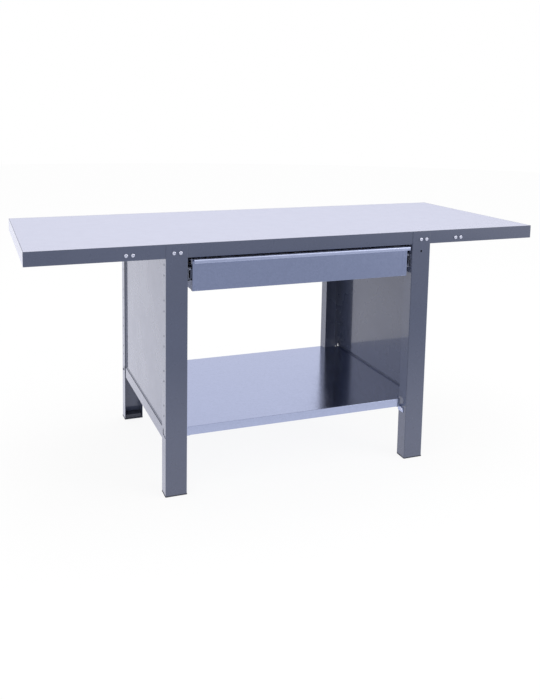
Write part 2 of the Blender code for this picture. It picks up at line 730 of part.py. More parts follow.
def make_slide(side):
    sign = SIDES[side]
    outwards, inwards = (sign, 0, 0), (-sign, 0, 0)
    outer_web = leg_inner - SEAT_GAP
    lips = drawer_half + LIP_SETBACK
    outer_half = SLIDE_HEIGHT / 2
    outer = channel(f"{side}_slide_outer", sign * outer_web, sign * lips, outer_half, outer_front,
                    OUTER_LENGTH, SLIDE_WALL, outwards, galvanised)
    screws = [(sign * outer_web, place, slide_height) for place in slide_screw_places]
    length = 2 * (SLIDE_WALL + CUT_OVERRUN)
    boolean(outer, round_cutter(f"{side}_slide_screw_holes", screws, SLIDE_SCREW_RADIUS, length, (1, 0, 0)))
    middle_web = outer_web - SLIDE_WALL - SLIDE_WEB_GAP
    middle_half = outer_half - SLIDE_WALL - BALL_GAP
    channel(f"{side}_slide_middle", sign * middle_web, sign * lips, middle_half, middle_front,
            MIDDLE_LENGTH, MIDDLE_WALL, outwards, galvanised)
    inner_tips = middle_web - MIDDLE_WALL - INNER_TIP_GAP
    inner_web = drawer_half + SEAT_GAP
    inner_half = middle_half - MIDDLE_WALL - BALL_GAP
    channel(f"{side}_slide_inner", sign * inner_web, sign * inner_tips, inner_half, body_front,
            BODY_LENGTH, MIDDLE_WALL, inwards, galvanised)
    cage_lips = sign * (drawer_half + CAGE_LIP_SETBACK)
    cage_inset = (BALL_GAP - CAGE_WALL) / 2
    outer_cage_web = outer_web - SLIDE_WALL - (SLIDE_WEB_GAP - CAGE_WALL) / 2
    outer_cage_middle = (outer_front + middle_rear) / 2
    channel(f"{side}_outer_ball_cage", sign * outer_cage_web, cage_lips,
            outer_half - SLIDE_WALL - cage_inset, outer_cage_middle - OUTER_CAGE_LENGTH / 2,
            OUTER_CAGE_LENGTH, CAGE_WALL, outwards, zinc)
    inner_cage_web = middle_web - MIDDLE_WALL - (INNER_TIP_GAP - CAGE_WALL) / 2
    inner_cage_middle = (middle_front + body_rear) / 2
    channel(f"{side}_inner_ball_cage", sign * inner_cage_web, cage_lips,
            middle_half - MIDDLE_WALL - cage_inset, inner_cage_middle - INNER_CAGE_LENGTH / 2,
            INNER_CAGE_LENGTH, CAGE_WALL, outwards, zinc)


clear_scene()
parts = make_collection("workbench")
cutters = make_collection("cutters")
cutters.hide_render = True

paint = make_material("grey_paint", (0.075, 0.085, 0.105), 0.25)
laminate = make_material("light_top", (0.62, 0.63, 0.70), 0.40)
chipboard = make_material("board", (0.42, 0.30, 0.18), 0.80)
galvanised = make_material("galvanised_sheet", (0.50, 0.55, 0.66), 0.22, 1.0)
aluminium = make_material("bright_aluminium", (0.78, 0.79, 0.82), 0.28, 1.0)
zinc = make_material("zinc_plate", (0.72, 0.73, 0.76), 0.30, 1.0)
black_plastic = make_material("foot_plastic", (0.03, 0.03, 0.035), 0.55)

bench = make_empty("bench", (0, bench_shift, 0))
make_worktop()
make_beams()
make_cross_members()
frame_bolt = bolt_mesh("frame_bolt", BOLT_RADIUS, BOLT_LENGTH, BOLT_HEAD_RADIUS, BOLT_HEAD_HEIGHT)
shelf_bolt = bolt_mesh("shelf_bolt", SHELF_BOLT_RADIUS, SHELF_BOLT_LENGTH, SHELF_BOLT_HEAD_RADIUS,
                       SHELF_BOLT_HEAD_HEIGHT)
make_frame_bolts(frame_bolt)
for side_name in SIDES:
    make_side(side_name)
    make_slide(side_name)
    for end_name in ENDS:
        make_leg(side_name, end_name)
        make_foot(side_name, end_name)
        make_shelf_bracket(side_name, end_name, shelf_bolt)
make_shelf()
make_drawer()

for piece in parts.objects:
    if piece.type == "MESH":
        piece.data.shade_smooth()
        piece.data.set_sharp_from_angle(angle=SHARP_ANGLE)
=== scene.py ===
# %% [markdown]
# # A steel workbench in grey paint and galvanised sheet
# The real bench is almost all folded sheet: a framed worktop on two side frames, a shelf that drops in
# between them, and one shallow drawer on ball slides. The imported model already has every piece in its
# place, so it is loaded first and used as the ruler. Finer pieces are then built exactly where it says.

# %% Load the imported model
import itertools
import math

import bmesh
import bpy
from mathutils import Matrix, Vector


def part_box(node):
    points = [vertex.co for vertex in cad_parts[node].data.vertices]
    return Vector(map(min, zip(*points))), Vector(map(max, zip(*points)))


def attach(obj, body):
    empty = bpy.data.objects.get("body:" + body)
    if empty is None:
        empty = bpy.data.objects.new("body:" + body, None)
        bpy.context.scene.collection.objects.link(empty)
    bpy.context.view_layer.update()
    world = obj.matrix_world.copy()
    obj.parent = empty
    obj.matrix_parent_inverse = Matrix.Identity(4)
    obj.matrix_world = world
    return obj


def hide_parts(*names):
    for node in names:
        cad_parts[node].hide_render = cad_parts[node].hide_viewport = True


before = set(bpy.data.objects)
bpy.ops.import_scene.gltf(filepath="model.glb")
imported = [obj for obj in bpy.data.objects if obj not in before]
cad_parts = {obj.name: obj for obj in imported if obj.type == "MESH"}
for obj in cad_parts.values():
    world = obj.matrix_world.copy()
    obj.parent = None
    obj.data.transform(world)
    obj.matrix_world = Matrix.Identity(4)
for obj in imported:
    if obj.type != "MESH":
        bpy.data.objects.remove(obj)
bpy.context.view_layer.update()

# %% [markdown]
# ## Measures
# The bench is mirrored about two planes, so most places follow from a few numbers: half a length, a wall
# and a bend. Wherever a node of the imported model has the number, it is read from that node's box. Only
# what a box can't tell, such as a sheet's thickness, is written here. Names tell a maker what they are.

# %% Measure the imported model
SIDES = {"left": -1, "right": 1}
ENDS = {"front": -1, "rear": 1}
CORNERS = list(itertools.product(SIDES, ENDS))
SEAT_GAP = 0.0003

surface_low, surface_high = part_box("worktop_surface")
MIDDLE_Y = (surface_low.y + surface_high.y) / 2
CENTRE = (0, MIDDLE_Y)
TOP_HEIGHT = surface_high.z


def near_far(node, axis):
    """A node's two sides across an axis: the one nearer the bench's middle, then the one further out."""
    low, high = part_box(node)
    return sorted((low[axis], high[axis]), key=lambda place: abs(place - CENTRE[axis]))


def middle_of(node):
    return sum(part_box(node), Vector()) / 2


half_length = near_far("right_end_beam", 0)[1]
front_face = near_far("front_beam", 1)[1]
half_depth = MIDDLE_Y - front_face
beam_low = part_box("front_beam")[0].z
leg_inner, leg_outer = near_far("front_right_leg", 0)
leg_free, leg_face = (abs(place - MIDDLE_Y) for place in near_far("front_right_leg", 1))
print("top", round(2 * half_length, 4), "x", round(2 * half_depth, 4), "height", round(TOP_HEIGHT, 4))

# %% [markdown]
# ## Colour that varies a little everywhere
# No real finish has one flat value. Paint has an orange-peel skin, rolled sheet has fine lines in the
# rolling direction, and galvanised sheet shows zinc crystals. Each effect is one shader node group with
# named inputs, built once, so that every material can use it at its own scale. A painted picture would
# stretch over the pieces. Noise in the object's own metres keeps the same scale on all of them.

# %% Helpers for node trees


def new_group(name, inputs, outputs, kind="ShaderNodeTree"):
    """A group, its inputs' sockets and its output node. An input is a name, a socket type and a value."""
    group = bpy.data.node_groups.new(name, kind)
    for label, socket, value in inputs:
        made = group.interface.new_socket(name=label, in_out="INPUT", socket_type=socket)
        if value is not None:
            made.default_value = value
    for label, socket in outputs:
        group.interface.new_socket(name=label, in_out="OUTPUT", socket_type=socket)
    return group, group.nodes.new("NodeGroupInput").outputs, group.nodes.new("NodeGroupOutput")


def join(tree, source, target):
    """Links a socket, or a node's first output, to another node's input."""
    tree.links.new(source.outputs[0] if isinstance(source, bpy.types.Node) else source, target)


def feed(tree, node, **sources):
    """Links each source to the input with its name, where underscores stand for spaces."""
    for label, source in sources.items():
        join(tree, source, node.inputs[label.replace("_", " ")])


def add_node(tree, kind, settings=None, values=None, links=None):
    """A node with its settings, its plain input values and its links from other nodes or sockets."""
    node = tree.nodes.new(kind)
    for name, value in (settings or {}).items():
        setattr(node, name, value)
    for name, value in (values or {}).items():
        node.inputs[name].default_value = value
    for name, source in (links or {}).items():
        join(tree, source, node.inputs[name])
    return node


# %% [markdown]
# The cloudy marks stand for how evenly a surface was coated and handled. A noise of a few centimetres
# is stretched between a low and a high value. The same group gives the roughness of paint and metal
# and the slight change of tone in both.

# %% Group for cloudy marks
VALUE = "NodeSocketFloat"
VECTOR = "NodeSocketVector"
cloudy_marks, given, put = new_group(
    "cloudy_marks",
    [("Place", VECTOR, None), ("Scale", VALUE, 8.0), ("Low", VALUE, 0.0), ("High", VALUE, 1.0)],
    [("Value", VALUE)],
)
noise = add_node(cloudy_marks, "ShaderNodeTexNoise", values={"Detail": 4.0, "Roughness": 0.55},
                 links={"Vector": given["Place"], "Scale": given["Scale"]})
spread = add_node(cloudy_marks, "ShaderNodeMapRange", values={"From Min": 0.32, "From Max": 0.68},
                  links={"Value": noise, "To Min": given["Low"], "To Max": given["High"]})
feed(cloudy_marks, put, Value=spread)
print("group", cloudy_marks.name)

# %% [markdown]
# Rolled and drawn metal has lines along the direction in which it was pulled. The same noise does it
# once its place is squeezed across the lines, which is what the Stretch input is for.

# %% Group for drawn lines
drawn_lines, given, put = new_group(
    "drawn_lines",
    [("Place", VECTOR, None), ("Stretch", VECTOR, (1.0, 1.0, 1.0)), ("Low", VALUE, 0.0),
     ("High", VALUE, 1.0)],
    [("Value", VALUE)],
)
squeezed = add_node(drawn_lines, "ShaderNodeVectorMath", {"operation": "MULTIPLY"},
                    links={0: given["Place"], 1: given["Stretch"]})
noise = add_node(drawn_lines, "ShaderNodeTexNoise", values={"Scale": 1.0, "Detail": 3.0, "Roughness": 0.6},
                 links={"Vector": squeezed})
spread = add_node(drawn_lines, "ShaderNodeMapRange", values={"From Min": 0.3, "From Max": 0.7},
                  links={"Value": noise, "To Min": given["Low"], "To Max": given["High"]})
feed(drawn_lines, put, Value=spread)
print("group", drawn_lines.name)

# %% [markdown]
# Hot-dipped zinc freezes into flat crystals, and each of them mirrors a little more or less light than
# the next. A Voronoi texture splits the surface into such cells, and each cell's random colour gives it
# a tone and a roughness of its own.

# %% Group for zinc crystals
zinc_crystals, given, put = new_group(
    "zinc_crystals",
    [("Place", VECTOR, None), ("Scale", VALUE, 120.0), ("Contrast", VALUE, 0.05)],
    [("Tone", VALUE), ("Grain", VALUE)],
)
warp = add_node(zinc_crystals, "ShaderNodeTexNoise", values={"Scale": 60.0, "Detail": 2.0},
                links={"Vector": given["Place"]})
bent = add_node(zinc_crystals, "ShaderNodeVectorMath", {"operation": "MULTIPLY_ADD"},
                values={1: (0.006, 0.006, 0.006)},
                links={0: warp.outputs["Color"], 2: given["Place"]})
cells = add_node(zinc_crystals, "ShaderNodeTexVoronoi", {"feature": "F1"},
                 links={"Vector": bent, "Scale": given["Scale"]})
parted = add_node(zinc_crystals, "ShaderNodeSeparateColor", links={"Color": cells.outputs["Color"]})
darkest = add_node(zinc_crystals, "ShaderNodeMath", {"operation": "SUBTRACT"}, {0: 1.0},
                   {1: given["Contrast"]})
tone = add_node(zinc_crystals, "ShaderNodeMapRange", values={"To Max": 1.0},
                links={"Value": parted.outputs["Red"], "To Min": darkest})
feed(zinc_crystals, put, Tone=tone, Grain=parted.outputs["Green"])
print("group", zinc_crystals.name)

# %% [markdown]
# A fine skin is what makes paint, laminate and moulded plastic look like what they are up close. The
# group gives a height only, and each material's own Bump node turns it into a normal.

# %% Group for a fine skin
fine_skin, given, put = new_group(
    "fine_skin",
    [("Place", VECTOR, None), ("Scale", VALUE, 700.0), ("Coarse Share", VALUE, 0.3)],
    [("Height", VALUE)],
)
fine = add_node(fine_skin, "ShaderNodeTexNoise", values={"Detail": 2.0, "Roughness": 0.5},
                links={"Vector": given["Place"], "Scale": given["Scale"]})
coarser = add_node(fine_skin, "ShaderNodeMath", {"operation": "MULTIPLY"}, {1: 0.2}, {0: given["Scale"]})
coarse = add_node(fine_skin, "ShaderNodeTexNoise", values={"Detail": 1.0},
                  links={"Vector": given["Place"], "Scale": coarser})
blend = add_node(fine_skin, "ShaderNodeMix", {"data_type": "FLOAT"},
                 links={"Factor": given["Coarse Share"], "A": fine, "B": coarse})
feed(fine_skin, put, Height=blend)
print("group", fine_skin.name)

# %% [markdown]
# ## The finishes
# Each material keeps its own Principled BSDF, and the groups only feed colours, roughness and heights
# into it. Shared helpers make the parts that all have: the place in metres, a mix of two close colours,
# and a bump. What is even all over the surface is set on the shader itself. Paint, laminate and moulded
# plastic are built alike, cloudy under a fine skin, so one function makes the three with their own values.

# %% Helpers for materials


def new_material(name, shader_values):
    material = bpy.data.materials.new(name)
    material.use_nodes = True
    tree = material.node_tree
    shader = tree.nodes["Principled BSDF"]
    for label, value in shader_values.items():
        shader.inputs[label].default_value = value
    place = tree.nodes.new("ShaderNodeTexCoord").outputs["Object"]
    return material, tree, shader, place


def use_group(tree, group, place, **values):
    """A group placed in a material. A name's underscores stand for spaces."""
    node = tree.nodes.new("ShaderNodeGroup")
    node.node_tree = group
    tree.links.new(place, node.inputs["Place"])
    for label, value in values.items():
        node.inputs[label.replace("_", " ")].default_value = value
    return node


def mix_colours(tree, factor, first, second):
    """Mixes two colours, each given as three values or as a socket."""
    mix = add_node(tree, "ShaderNodeMix", {"data_type": "RGBA"}, links={"Factor": factor})
    for index, colour in ((6, first), (7, second)):
        if isinstance(colour, tuple):
            mix.inputs[index].default_value = (*colour, 1.0)
        else:
            tree.links.new(colour, mix.inputs[index])
    return mix.outputs[2]


def bump(tree, height, strength, distance):
    node = add_node(tree, "ShaderNodeBump", values={"Strength": strength, "Distance": distance},
                    links={"Height": height})
    return node.outputs["Normal"]


def skinned(name, shader_values, tone_scale, dark, bright, rough, skin, strength, depth):
    """Two close colours in cloudy marks, under a fine skin. rough and skin hold their groups' inputs."""
    material, tree, shader, place = new_material(name, shader_values)
    tone = use_group(tree, cloudy_marks, place, Scale=tone_scale)
    colour = mix_colours(tree, tone, dark, bright)
    rough = use_group(tree, cloudy_marks, place, **rough)
    skin = use_group(tree, fine_skin, place, **skin)
    feed(tree, shader, Base_Color=colour, Roughness=rough, Normal=bump(tree, skin, strength, depth))
    print("material", name)
    return material


# %% [markdown]
# Grey stove enamel: a dark, slightly blue coat that mirrors its surroundings at a flat angle. On the
# photographed panel the leg's reflection is crisp, so a smooth clear layer lies over a rougher base.

# %% Grey paint
PAINT_COAT = {"IOR": 1.4, "Coat Weight": 1.0, "Coat Roughness": 0.05, "Coat IOR": 1.55}
paint = skinned(
    "grey_stove_enamel", PAINT_COAT, tone_scale=3.0, dark=(0.081, 0.095, 0.150), bright=(0.089, 0.104, 0.164),
    rough={"Scale": 9.0, "Low": 0.24, "High": 0.32}, skin={"Scale": 650.0, "Coarse_Share": 0.35},
    strength=0.04, depth=0.0002,
)

# %% [markdown]
# Galvanised sheet: bluish zinc that mirrors, but softly. Crystals change its tone by a few hundredths,
# and faint rolling lines run along the bench.

# %% Galvanised sheet
galvanised, tree, shader, place = new_material("galvanised_sheet", {"Metallic": 1.0})
crystals = use_group(tree, zinc_crystals, place, Scale=150.0, Contrast=0.07)
lines = use_group(tree, drawn_lines, place, Stretch=(3.0, 160.0, 160.0), Low=0.96, High=1.0)
dulled = add_node(tree, "ShaderNodeMath", {"operation": "MULTIPLY"},
                  links={0: crystals.outputs["Tone"], 1: lines})
colour = mix_colours(tree, dulled, (0.19, 0.21, 0.27), (0.495, 0.540, 0.680))
clouds = use_group(tree, cloudy_marks, place, Scale=5.0, Low=0.11, High=0.17)
grain = add_node(tree, "ShaderNodeMath", {"operation": "MULTIPLY_ADD"}, {1: 0.05},
                 {0: crystals.outputs["Grain"], 2: clouds})
feed(tree, shader, Base_Color=colour, Roughness=grain, Normal=bump(tree, lines, 0.15, 0.0001))
print("material", galvanised.name)

# %% [markdown]
# Laminate: a pale grey sheet with a satin skin. The photograph shows one even tone from edge to edge,
# so the pattern is only a breath of mottling, and the skin spreads the reflection of the lamps.

# %% Light grey laminate
laminate = skinned(
    "light_grey_laminate", {"IOR": 1.48}, tone_scale=24.0, dark=(0.640, 0.655, 0.790),
    bright=(0.660, 0.675, 0.812), rough={"Scale": 4.0, "Low": 0.54, "High": 0.62},
    skin={"Scale": 1100.0, "Coarse_Share": 0.2}, strength=0.2, depth=0.0001,
)

# %% [markdown]
# Pressed board: wood chips glued and pressed flat. It shows only from below, between the beams. Cells
# that are longer one way stand for the chips. Each has a colour of its own, and dips towards its middle.

# %% Pressed board
board, tree, shader, place = new_material("pressed_board", {"Roughness": 0.8})
stretch = add_node(tree, "ShaderNodeVectorMath", {"operation": "MULTIPLY"}, {1: (1.0, 2.4, 1.0)}, {0: place})
chips = add_node(tree, "ShaderNodeTexVoronoi", values={"Scale": 130.0}, links={"Vector": stretch})
parted = add_node(tree, "ShaderNodeSeparateColor", links={"Color": chips.outputs["Color"]})
colour = mix_colours(tree, parted.outputs["Red"], (0.30, 0.20, 0.11), (0.52, 0.38, 0.23))
rough = use_group(tree, cloudy_marks, place, Scale=40.0, Low=0.72, High=0.88)
feed(tree, shader, Base_Color=colour, Roughness=rough, Normal=bump(tree, chips, 0.3, 0.0005))
print("material", board.name)

# %% [markdown]
# Drawn aluminium for the handle strip, bright zinc for bolts and slides, and polished steel for balls. All
# are metals with fine lines. The strip's lines run along the bench, the slides' towards the drawer's rear.

# %% Aluminium, zinc and steel


def drawn_metal(name, dark, bright, stretch, low, high):
    material, tree, shader, place = new_material(name, {"Metallic": 1.0})
    lines = use_group(tree, drawn_lines, place, Stretch=stretch)
    colour = mix_colours(tree, lines, dark, bright)
    rough = use_group(tree, cloudy_marks, place, Scale=30.0, Low=low, High=high)
    feed(tree, shader, Base_Color=colour, Roughness=rough, Normal=bump(tree, lines, 0.2, 0.00005))
    print("material", name)
    return material


aluminium = drawn_metal("drawn_aluminium", dark=(0.56, 0.61, 0.75), bright=(0.62, 0.67, 0.82),
                        stretch=(3.0, 400.0, 400.0), low=0.30, high=0.36)
bolt_zinc = drawn_metal("bright_bolt_zinc", dark=(0.74, 0.75, 0.80), bright=(0.84, 0.85, 0.90),
                        stretch=(400.0, 400.0, 400.0), low=0.16, high=0.26)
slide_steel = drawn_metal("zinc_plated_slide_steel", dark=(0.60, 0.62, 0.68), bright=(0.70, 0.72, 0.78),
                          stretch=(500.0, 6.0, 500.0), low=0.18, high=0.28)
ball_steel = drawn_metal("polished_ball_steel", dark=(0.74, 0.75, 0.78), bright=(0.78, 0.79, 0.82),
                         stretch=(300.0, 300.0, 300.0), low=0.05, high=0.09)

# %% [markdown]
# Moulded plastic for the feet: dark grey, with the dull grain that the mould gives it.

# %% Foot plastic
foot_plastic = skinned(
    "moulded_foot_plastic", {"IOR": 1.48}, tone_scale=60.0, dark=(0.052, 0.055, 0.068),
    bright=(0.066, 0.069, 0.084), rough={"Scale": 25.0, "Low": 0.48, "High": 0.60},
    skin={"Scale": 1500.0, "Coarse_Share": 0.4}, strength=0.4, depth=0.0002,
)

# %% [markdown]
# ## Folded sheet
# A folded piece is a line that turns at each bend, pulled along the sheet's length, with one wall of
# thickness. It could be drawn with a Solidify modifier, but then its bends would be as coarse as the
# line. Here every corner of the line becomes an arc first, and the second skin is the same line moved in
# by one wall, so the inside of each bend has its own true radius.

# %% Lines with rounded corners
BEND_STEPS = 5


def rounded_line(points, radii, steps=BEND_STEPS):
    """The line with an arc in place of each inner corner. A radius of 0 keeps the corner."""
    points = [Vector(point) for point in points]
    if not isinstance(radii, (list, tuple)):
        radii = [radii] * (len(points) - 2)
    line = [points[0]]
    for before, corner, after, radius in zip(points, points[1:], points[2:], radii):
        if not radius:
            line.append(corner)
            continue
        back = (before - corner).normalized()
        on = (after - corner).normalized()
        turn = math.pi - back.angle(on)
        centre = corner + (back + on).normalized() * radius / math.cos(turn / 2)
        arm = corner + back * radius * math.tan(turn / 2) - centre
        axis = (-back).cross(on).normalized()
        for step in range(steps + 1):
            line.append(centre + Matrix.Rotation(turn * step / steps, 3, axis) @ arm)
    return line + [points[-1]]


def second_skin(line, wall, along, outward):
    """The line moved in by one wall, away from the outward side of its longest stretch."""
    stretches = [after - before for before, after in zip(line, line[1:])]
    normals = [stretch.cross(along).normalized() for stretch in stretches]
    longest = max(range(len(stretches)), key=lambda index: stretches[index].length)
    way = -1 if normals[longest].dot(Vector(outward)) > 0 else 1
    moved = []
    for index, point in enumerate(line):
        first = normals[max(index - 1, 0)]
        second = normals[min(index, len(normals) - 1)]
        mean = (first + second).normalized()
        moved.append(point + mean * way * wall / mean.dot(first))
    return moved


# %% [markdown]
# The two skins, the caps at both ends and the two cut edges make a closed solid of plain quads.

# %% Sheet solids
made_pieces = []


def new_object(name, data):
    made = bpy.data.objects.new(name, data)
    bpy.context.scene.collection.objects.link(made)
    return made


def new_piece(name, mesh, material):
    if material and not mesh.materials:
        mesh.materials.append(material)
    return new_object(name, mesh)


def smooth_mesh(bm, name):
    """Empties a bmesh into a mesh whose faces are shaded smooth."""
    for face in bm.faces:
        face.smooth = True
    mesh = bpy.data.meshes.new(name)
    bm.to_mesh(mesh)
    bm.free()
    return mesh


def mesh_from(bm, name):
    bmesh.ops.recalc_face_normals(bm, faces=bm.faces)
    return smooth_mesh(bm, name)


def corners_of(geometry):
    """The vertices among what a bmesh operator returns."""
    return [item for item in geometry if isinstance(item, bmesh.types.BMVert)]


def add_sheet(bm, line, along, outward, wall):
    """Adds one closed sheet to a bmesh: line is its outer face's edge and along the way it is pulled."""
    along = Vector(along)
    skins = line + second_skin(line, wall, along, outward)
    near = [bm.verts.new(point) for point in skins]
    far = [bm.verts.new(point + along) for point in skins]
    count = len(line)
    for index in range(count - 1):
        bm.faces.new((near[index], near[index + 1], far[index + 1], far[index]))
        inner = count + index
        bm.faces.new((near[inner], near[inner + 1], far[inner + 1], far[inner]))
        for ring in (near, far):
            bm.faces.new((ring[index], ring[index + 1], ring[inner + 1], ring[inner]))
    for index in (0, count - 1):
        bm.faces.new((near[index], far[index], far[count + index], near[count + index]))


def sheet(name, points, along, outward, bend, wall, material):
    bm = bmesh.new()
    add_sheet(bm, rounded_line(points, bend), along, outward, wall)
    return new_piece(name, mesh_from(bm, name), material)


# %% [markdown]
# ## Holes in rows
# Holes in a sheet are punched by a tool that steps along it, so they come in rows: a start, a step and a
# count. That is a rule, and Geometry Nodes can hold it. The tree puts a punch at each point of a line,
# turns all of them to one axis and takes them out of the sheet. Its inputs are what a maker would set at
# the press. The pairs in a leg's flange are two such rows, and a pair of bolt holes is a row of two.

# %% Tree that punches a row of holes
GEOMETRY, COUNT, MATERIAL = "NodeSocketGeometry", "NodeSocketInt", "NodeSocketMaterial"
PUNCH_DEPTH = 0.02
PUNCH_SIDES = 24


def new_tree(name, inputs):
    """A Geometry Nodes tree for a modifier, with its named inputs and one geometry that comes out."""
    tree, given, put = new_group(name, inputs, [("Geometry", GEOMETRY)], "GeometryNodeTree")
    tree.is_modifier = True
    return tree, given, put


def end_tree(tree, geometry, material, put):
    """Ends a tree: copies become real faces, and all of them get the material."""
    joined = add_node(tree, "GeometryNodeRealizeInstances", links={"Geometry": geometry})
    painted = add_node(tree, "GeometryNodeSetMaterial", links={"Geometry": joined, "Material": material})
    feed(tree, put, Geometry=painted)
    print("tree", tree.name)


punched_row, given, put = new_tree("punched_row", [
    ("Geometry", GEOMETRY, None), ("Start", VECTOR, None), ("Step", VECTOR, None), ("Count", COUNT, 2),
    ("Radius", VALUE, 0.004), ("Axis", VECTOR, None), ("Depth", VALUE, PUNCH_DEPTH),
    ("Sides", COUNT, PUNCH_SIDES), ("Material", MATERIAL, None),
])
row = add_node(punched_row, "GeometryNodeMeshLine", {"mode": "OFFSET"},
               links={"Count": given["Count"], "Start Location": given["Start"], "Offset": given["Step"]})
punch = add_node(punched_row, "GeometryNodeMeshCylinder",
                 links={"Vertices": given["Sides"], "Radius": given["Radius"], "Depth": given["Depth"]})
turned = add_node(punched_row, "FunctionNodeAlignRotationToVector", {"axis": "Z"},
                  links={"Vector": given["Axis"]})
punches = add_node(punched_row, "GeometryNodeInstanceOnPoints",
                   links={"Points": row, "Instance": punch, "Rotation": turned})
solid_punches = add_node(punched_row, "GeometryNodeRealizeInstances", links={"Geometry": punches})
taken = add_node(punched_row, "GeometryNodeMeshBoolean", {"operation": "DIFFERENCE", "solver": "EXACT"},
                 links={0: given["Geometry"], 1: solid_punches})
end_tree(punched_row, taken, given["Material"], put)

# %% Set a tree's inputs, and settle a piece into a plain mesh


def grow(piece, tree, values):
    """Gives a piece a tree. Inputs are set by their identifiers, before the piece is first evaluated."""
    modifier = piece.modifiers.new(tree.name, "NODES")
    modifier.node_group = tree
    for item in tree.interface.items_tree:
        if item.item_type == "SOCKET" and item.in_out == "INPUT" and item.name in values:
            modifier[item.identifier] = values[item.name]


def punch_holes(piece, start, step, count, radius, axis, sides=PUNCH_SIDES):
    grow(piece, punched_row, {
        "Start": tuple(start), "Step": tuple(step), "Count": count, "Radius": radius, "Axis": axis,
        "Depth": PUNCH_DEPTH, "Sides": sides, "Material": piece.data.materials[0],
    })


def punch_hole(piece, place, radius, axis):
    punch_holes(piece, place, (0, 0, 0), 1, radius, axis)


def settle(piece):
    """Turns what the modifiers make into the piece's own plain mesh."""
    depsgraph = bpy.context.evaluated_depsgraph_get()
    made = bpy.data.meshes.new_from_object(piece.evaluated_get(depsgraph))
    spent = piece.data
    piece.modifiers.clear()
    piece.data = made
    bpy.data.meshes.remove(spent)
    made.name = piece.name
    return piece


# %% [markdown]
# ## Cut edges and bends that catch the light
# Sheared sheet never has a knife edge: it is dulled by the press and rounded again by the coat. Bevels of
# a few tenths of a millimetre give each edge its thin bright line. Cuts and bevels leave slivers and
# unmatched points here and there, and these are cleared. Weighted normals keep the wide faces flat beside
# the bevels, which matters on mirror-like metal, where a bent normal bends the whole reflection.

# %% Finish a piece
SHARP = math.radians(50)
CUT_EDGE = 0.0003
SOFT_EDGE = 0.0004
THIN_EDGE = 0.00025
FINE_EDGE = 0.0002
TOO_CLOSE = 0.00001
CLEARING_ROUNDS = 3
INSIDE_EDGE = (0.01, 0.99)


def boolean(piece, mesh, operation="DIFFERENCE"):
    """Cuts a mesh out of a piece, or joins it on, and settles the piece."""
    tool = new_piece("tool", mesh, None)
    modifier = piece.modifiers.new("Tool", "BOOLEAN")
    modifier.operation = operation
    modifier.solver = "EXACT"
    modifier.object = tool
    settle(piece)
    bpy.data.objects.remove(tool)


def clear_slivers(piece):
    """Takes out faces without area. Where only one side of an edge has a point, the other gets it too."""
    bm = bmesh.new()
    bm.from_mesh(piece.data)
    bmesh.ops.dissolve_degenerate(bm, dist=TOO_CLOSE, edges=bm.edges)
    for _ in range(CLEARING_ROUNDS):
        points = [vert for vert in bm.verts if vert.is_boundary]
        for edge in [edge for edge in bm.edges if edge.is_boundary]:
            first, second = edge.verts
            span = second.co - first.co
            for vert in points:
                share = (vert.co - first.co).dot(span) / span.length_squared
                aside = (first.co + share * span - vert.co).length
                if INSIDE_EDGE[0] < share < INSIDE_EDGE[1] and aside < TOO_CLOSE:
                    bmesh.utils.edge_split(edge, first, share)
                    break
        bmesh.ops.remove_doubles(bm, verts=[vert for vert in bm.verts if vert.is_boundary], dist=TOO_CLOSE)
    bmesh.ops.delete(bm, geom=[vert for vert in bm.verts if not vert.link_faces], context="VERTS")
    bm.to_mesh(piece.data)
    bm.free()


def bevel_edges(piece, name, width, segments, least):
    """A Bevel modifier on the edges that turn by more than the least angle."""
    bevel = piece.modifiers.new(name, "BEVEL")
    bevel.width = width
    bevel.segments = segments
    bevel.limit_method = "ANGLE"
    bevel.angle_limit = least
    return bevel


def dull_edges(piece, width):
    bevel_edges(piece, "Dulled edges", width, 2, SHARP).use_clamp_overlap = False


def hand_over(piece, body, nodes=()):
    """Lets a finished piece ride with its body and stand for its nodes."""
    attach(piece, body)
    if nodes:
        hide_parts(*nodes)
    made_pieces.append(piece)


def finish_piece(piece, body, nodes=(), edge=CUT_EDGE):
    """Rounds the cut edges, clears slivers, keeps the faces flat and hands the piece over."""
    if edge:
        dull_edges(piece, edge)
    clear_slivers(settle(piece))
    weighted = piece.modifiers.new("Flat faces", "WEIGHTED_NORMAL")
    weighted.keep_sharp = False
    weighted.weight = 100
    hand_over(settle(piece), body, nodes)


def box_mesh(first, second):
    """A block between two opposite corners, for a tool or a flange."""
    low = Vector(min(pair) for pair in zip(first, second))
    high = Vector(max(pair) for pair in zip(first, second))
    bm = bmesh.new()
    size = Matrix.Diagonal((*(high - low), 1.0))
    bmesh.ops.create_cube(bm, size=1.0, matrix=Matrix.Translation((low + high) / 2) @ size)
    return mesh_from(bm, "block")


def at(x, y, z):
    """A place in the bench's own coordinates, whose Y is 0 at the worktop's middle."""
    return Vector((x, y + MIDDLE_Y, z))


# %% [markdown]
# ## Worktop frame
# Four angle-section beams frame the board. The long ones close the corners and the end beams fit between
# them, so the corner is one plain edge with a hairline joint. Each has a web, a tight bend and an inward
# flange below, notched where two flanges would meet.

# %% Beams
BEAM_WALL = 0.002
BEAM_BEND = 0.0028
BEAM_FLANGE = 0.030
BOLT_HOLE = 0.0043
BEYOND = 0.004
member_end = half_depth - BEAM_WALL - SEAT_GAP
flange_end = half_length - BEAM_WALL - 2 * SEAT_GAP
end_reach = member_end - SEAT_GAP


def bolt_pairs(end):
    """Each bolt pair in a long beam: the first bolt's place and the step to the second, at rest."""
    pairs = []
    for side in SIDES:
        for label in ("leg", "overhang"):
            first, second = (middle_of(f"{end}_{side}_{label}_bolt_{letter}") for letter in "ab")
            pairs.append((first, second - first))
    return pairs


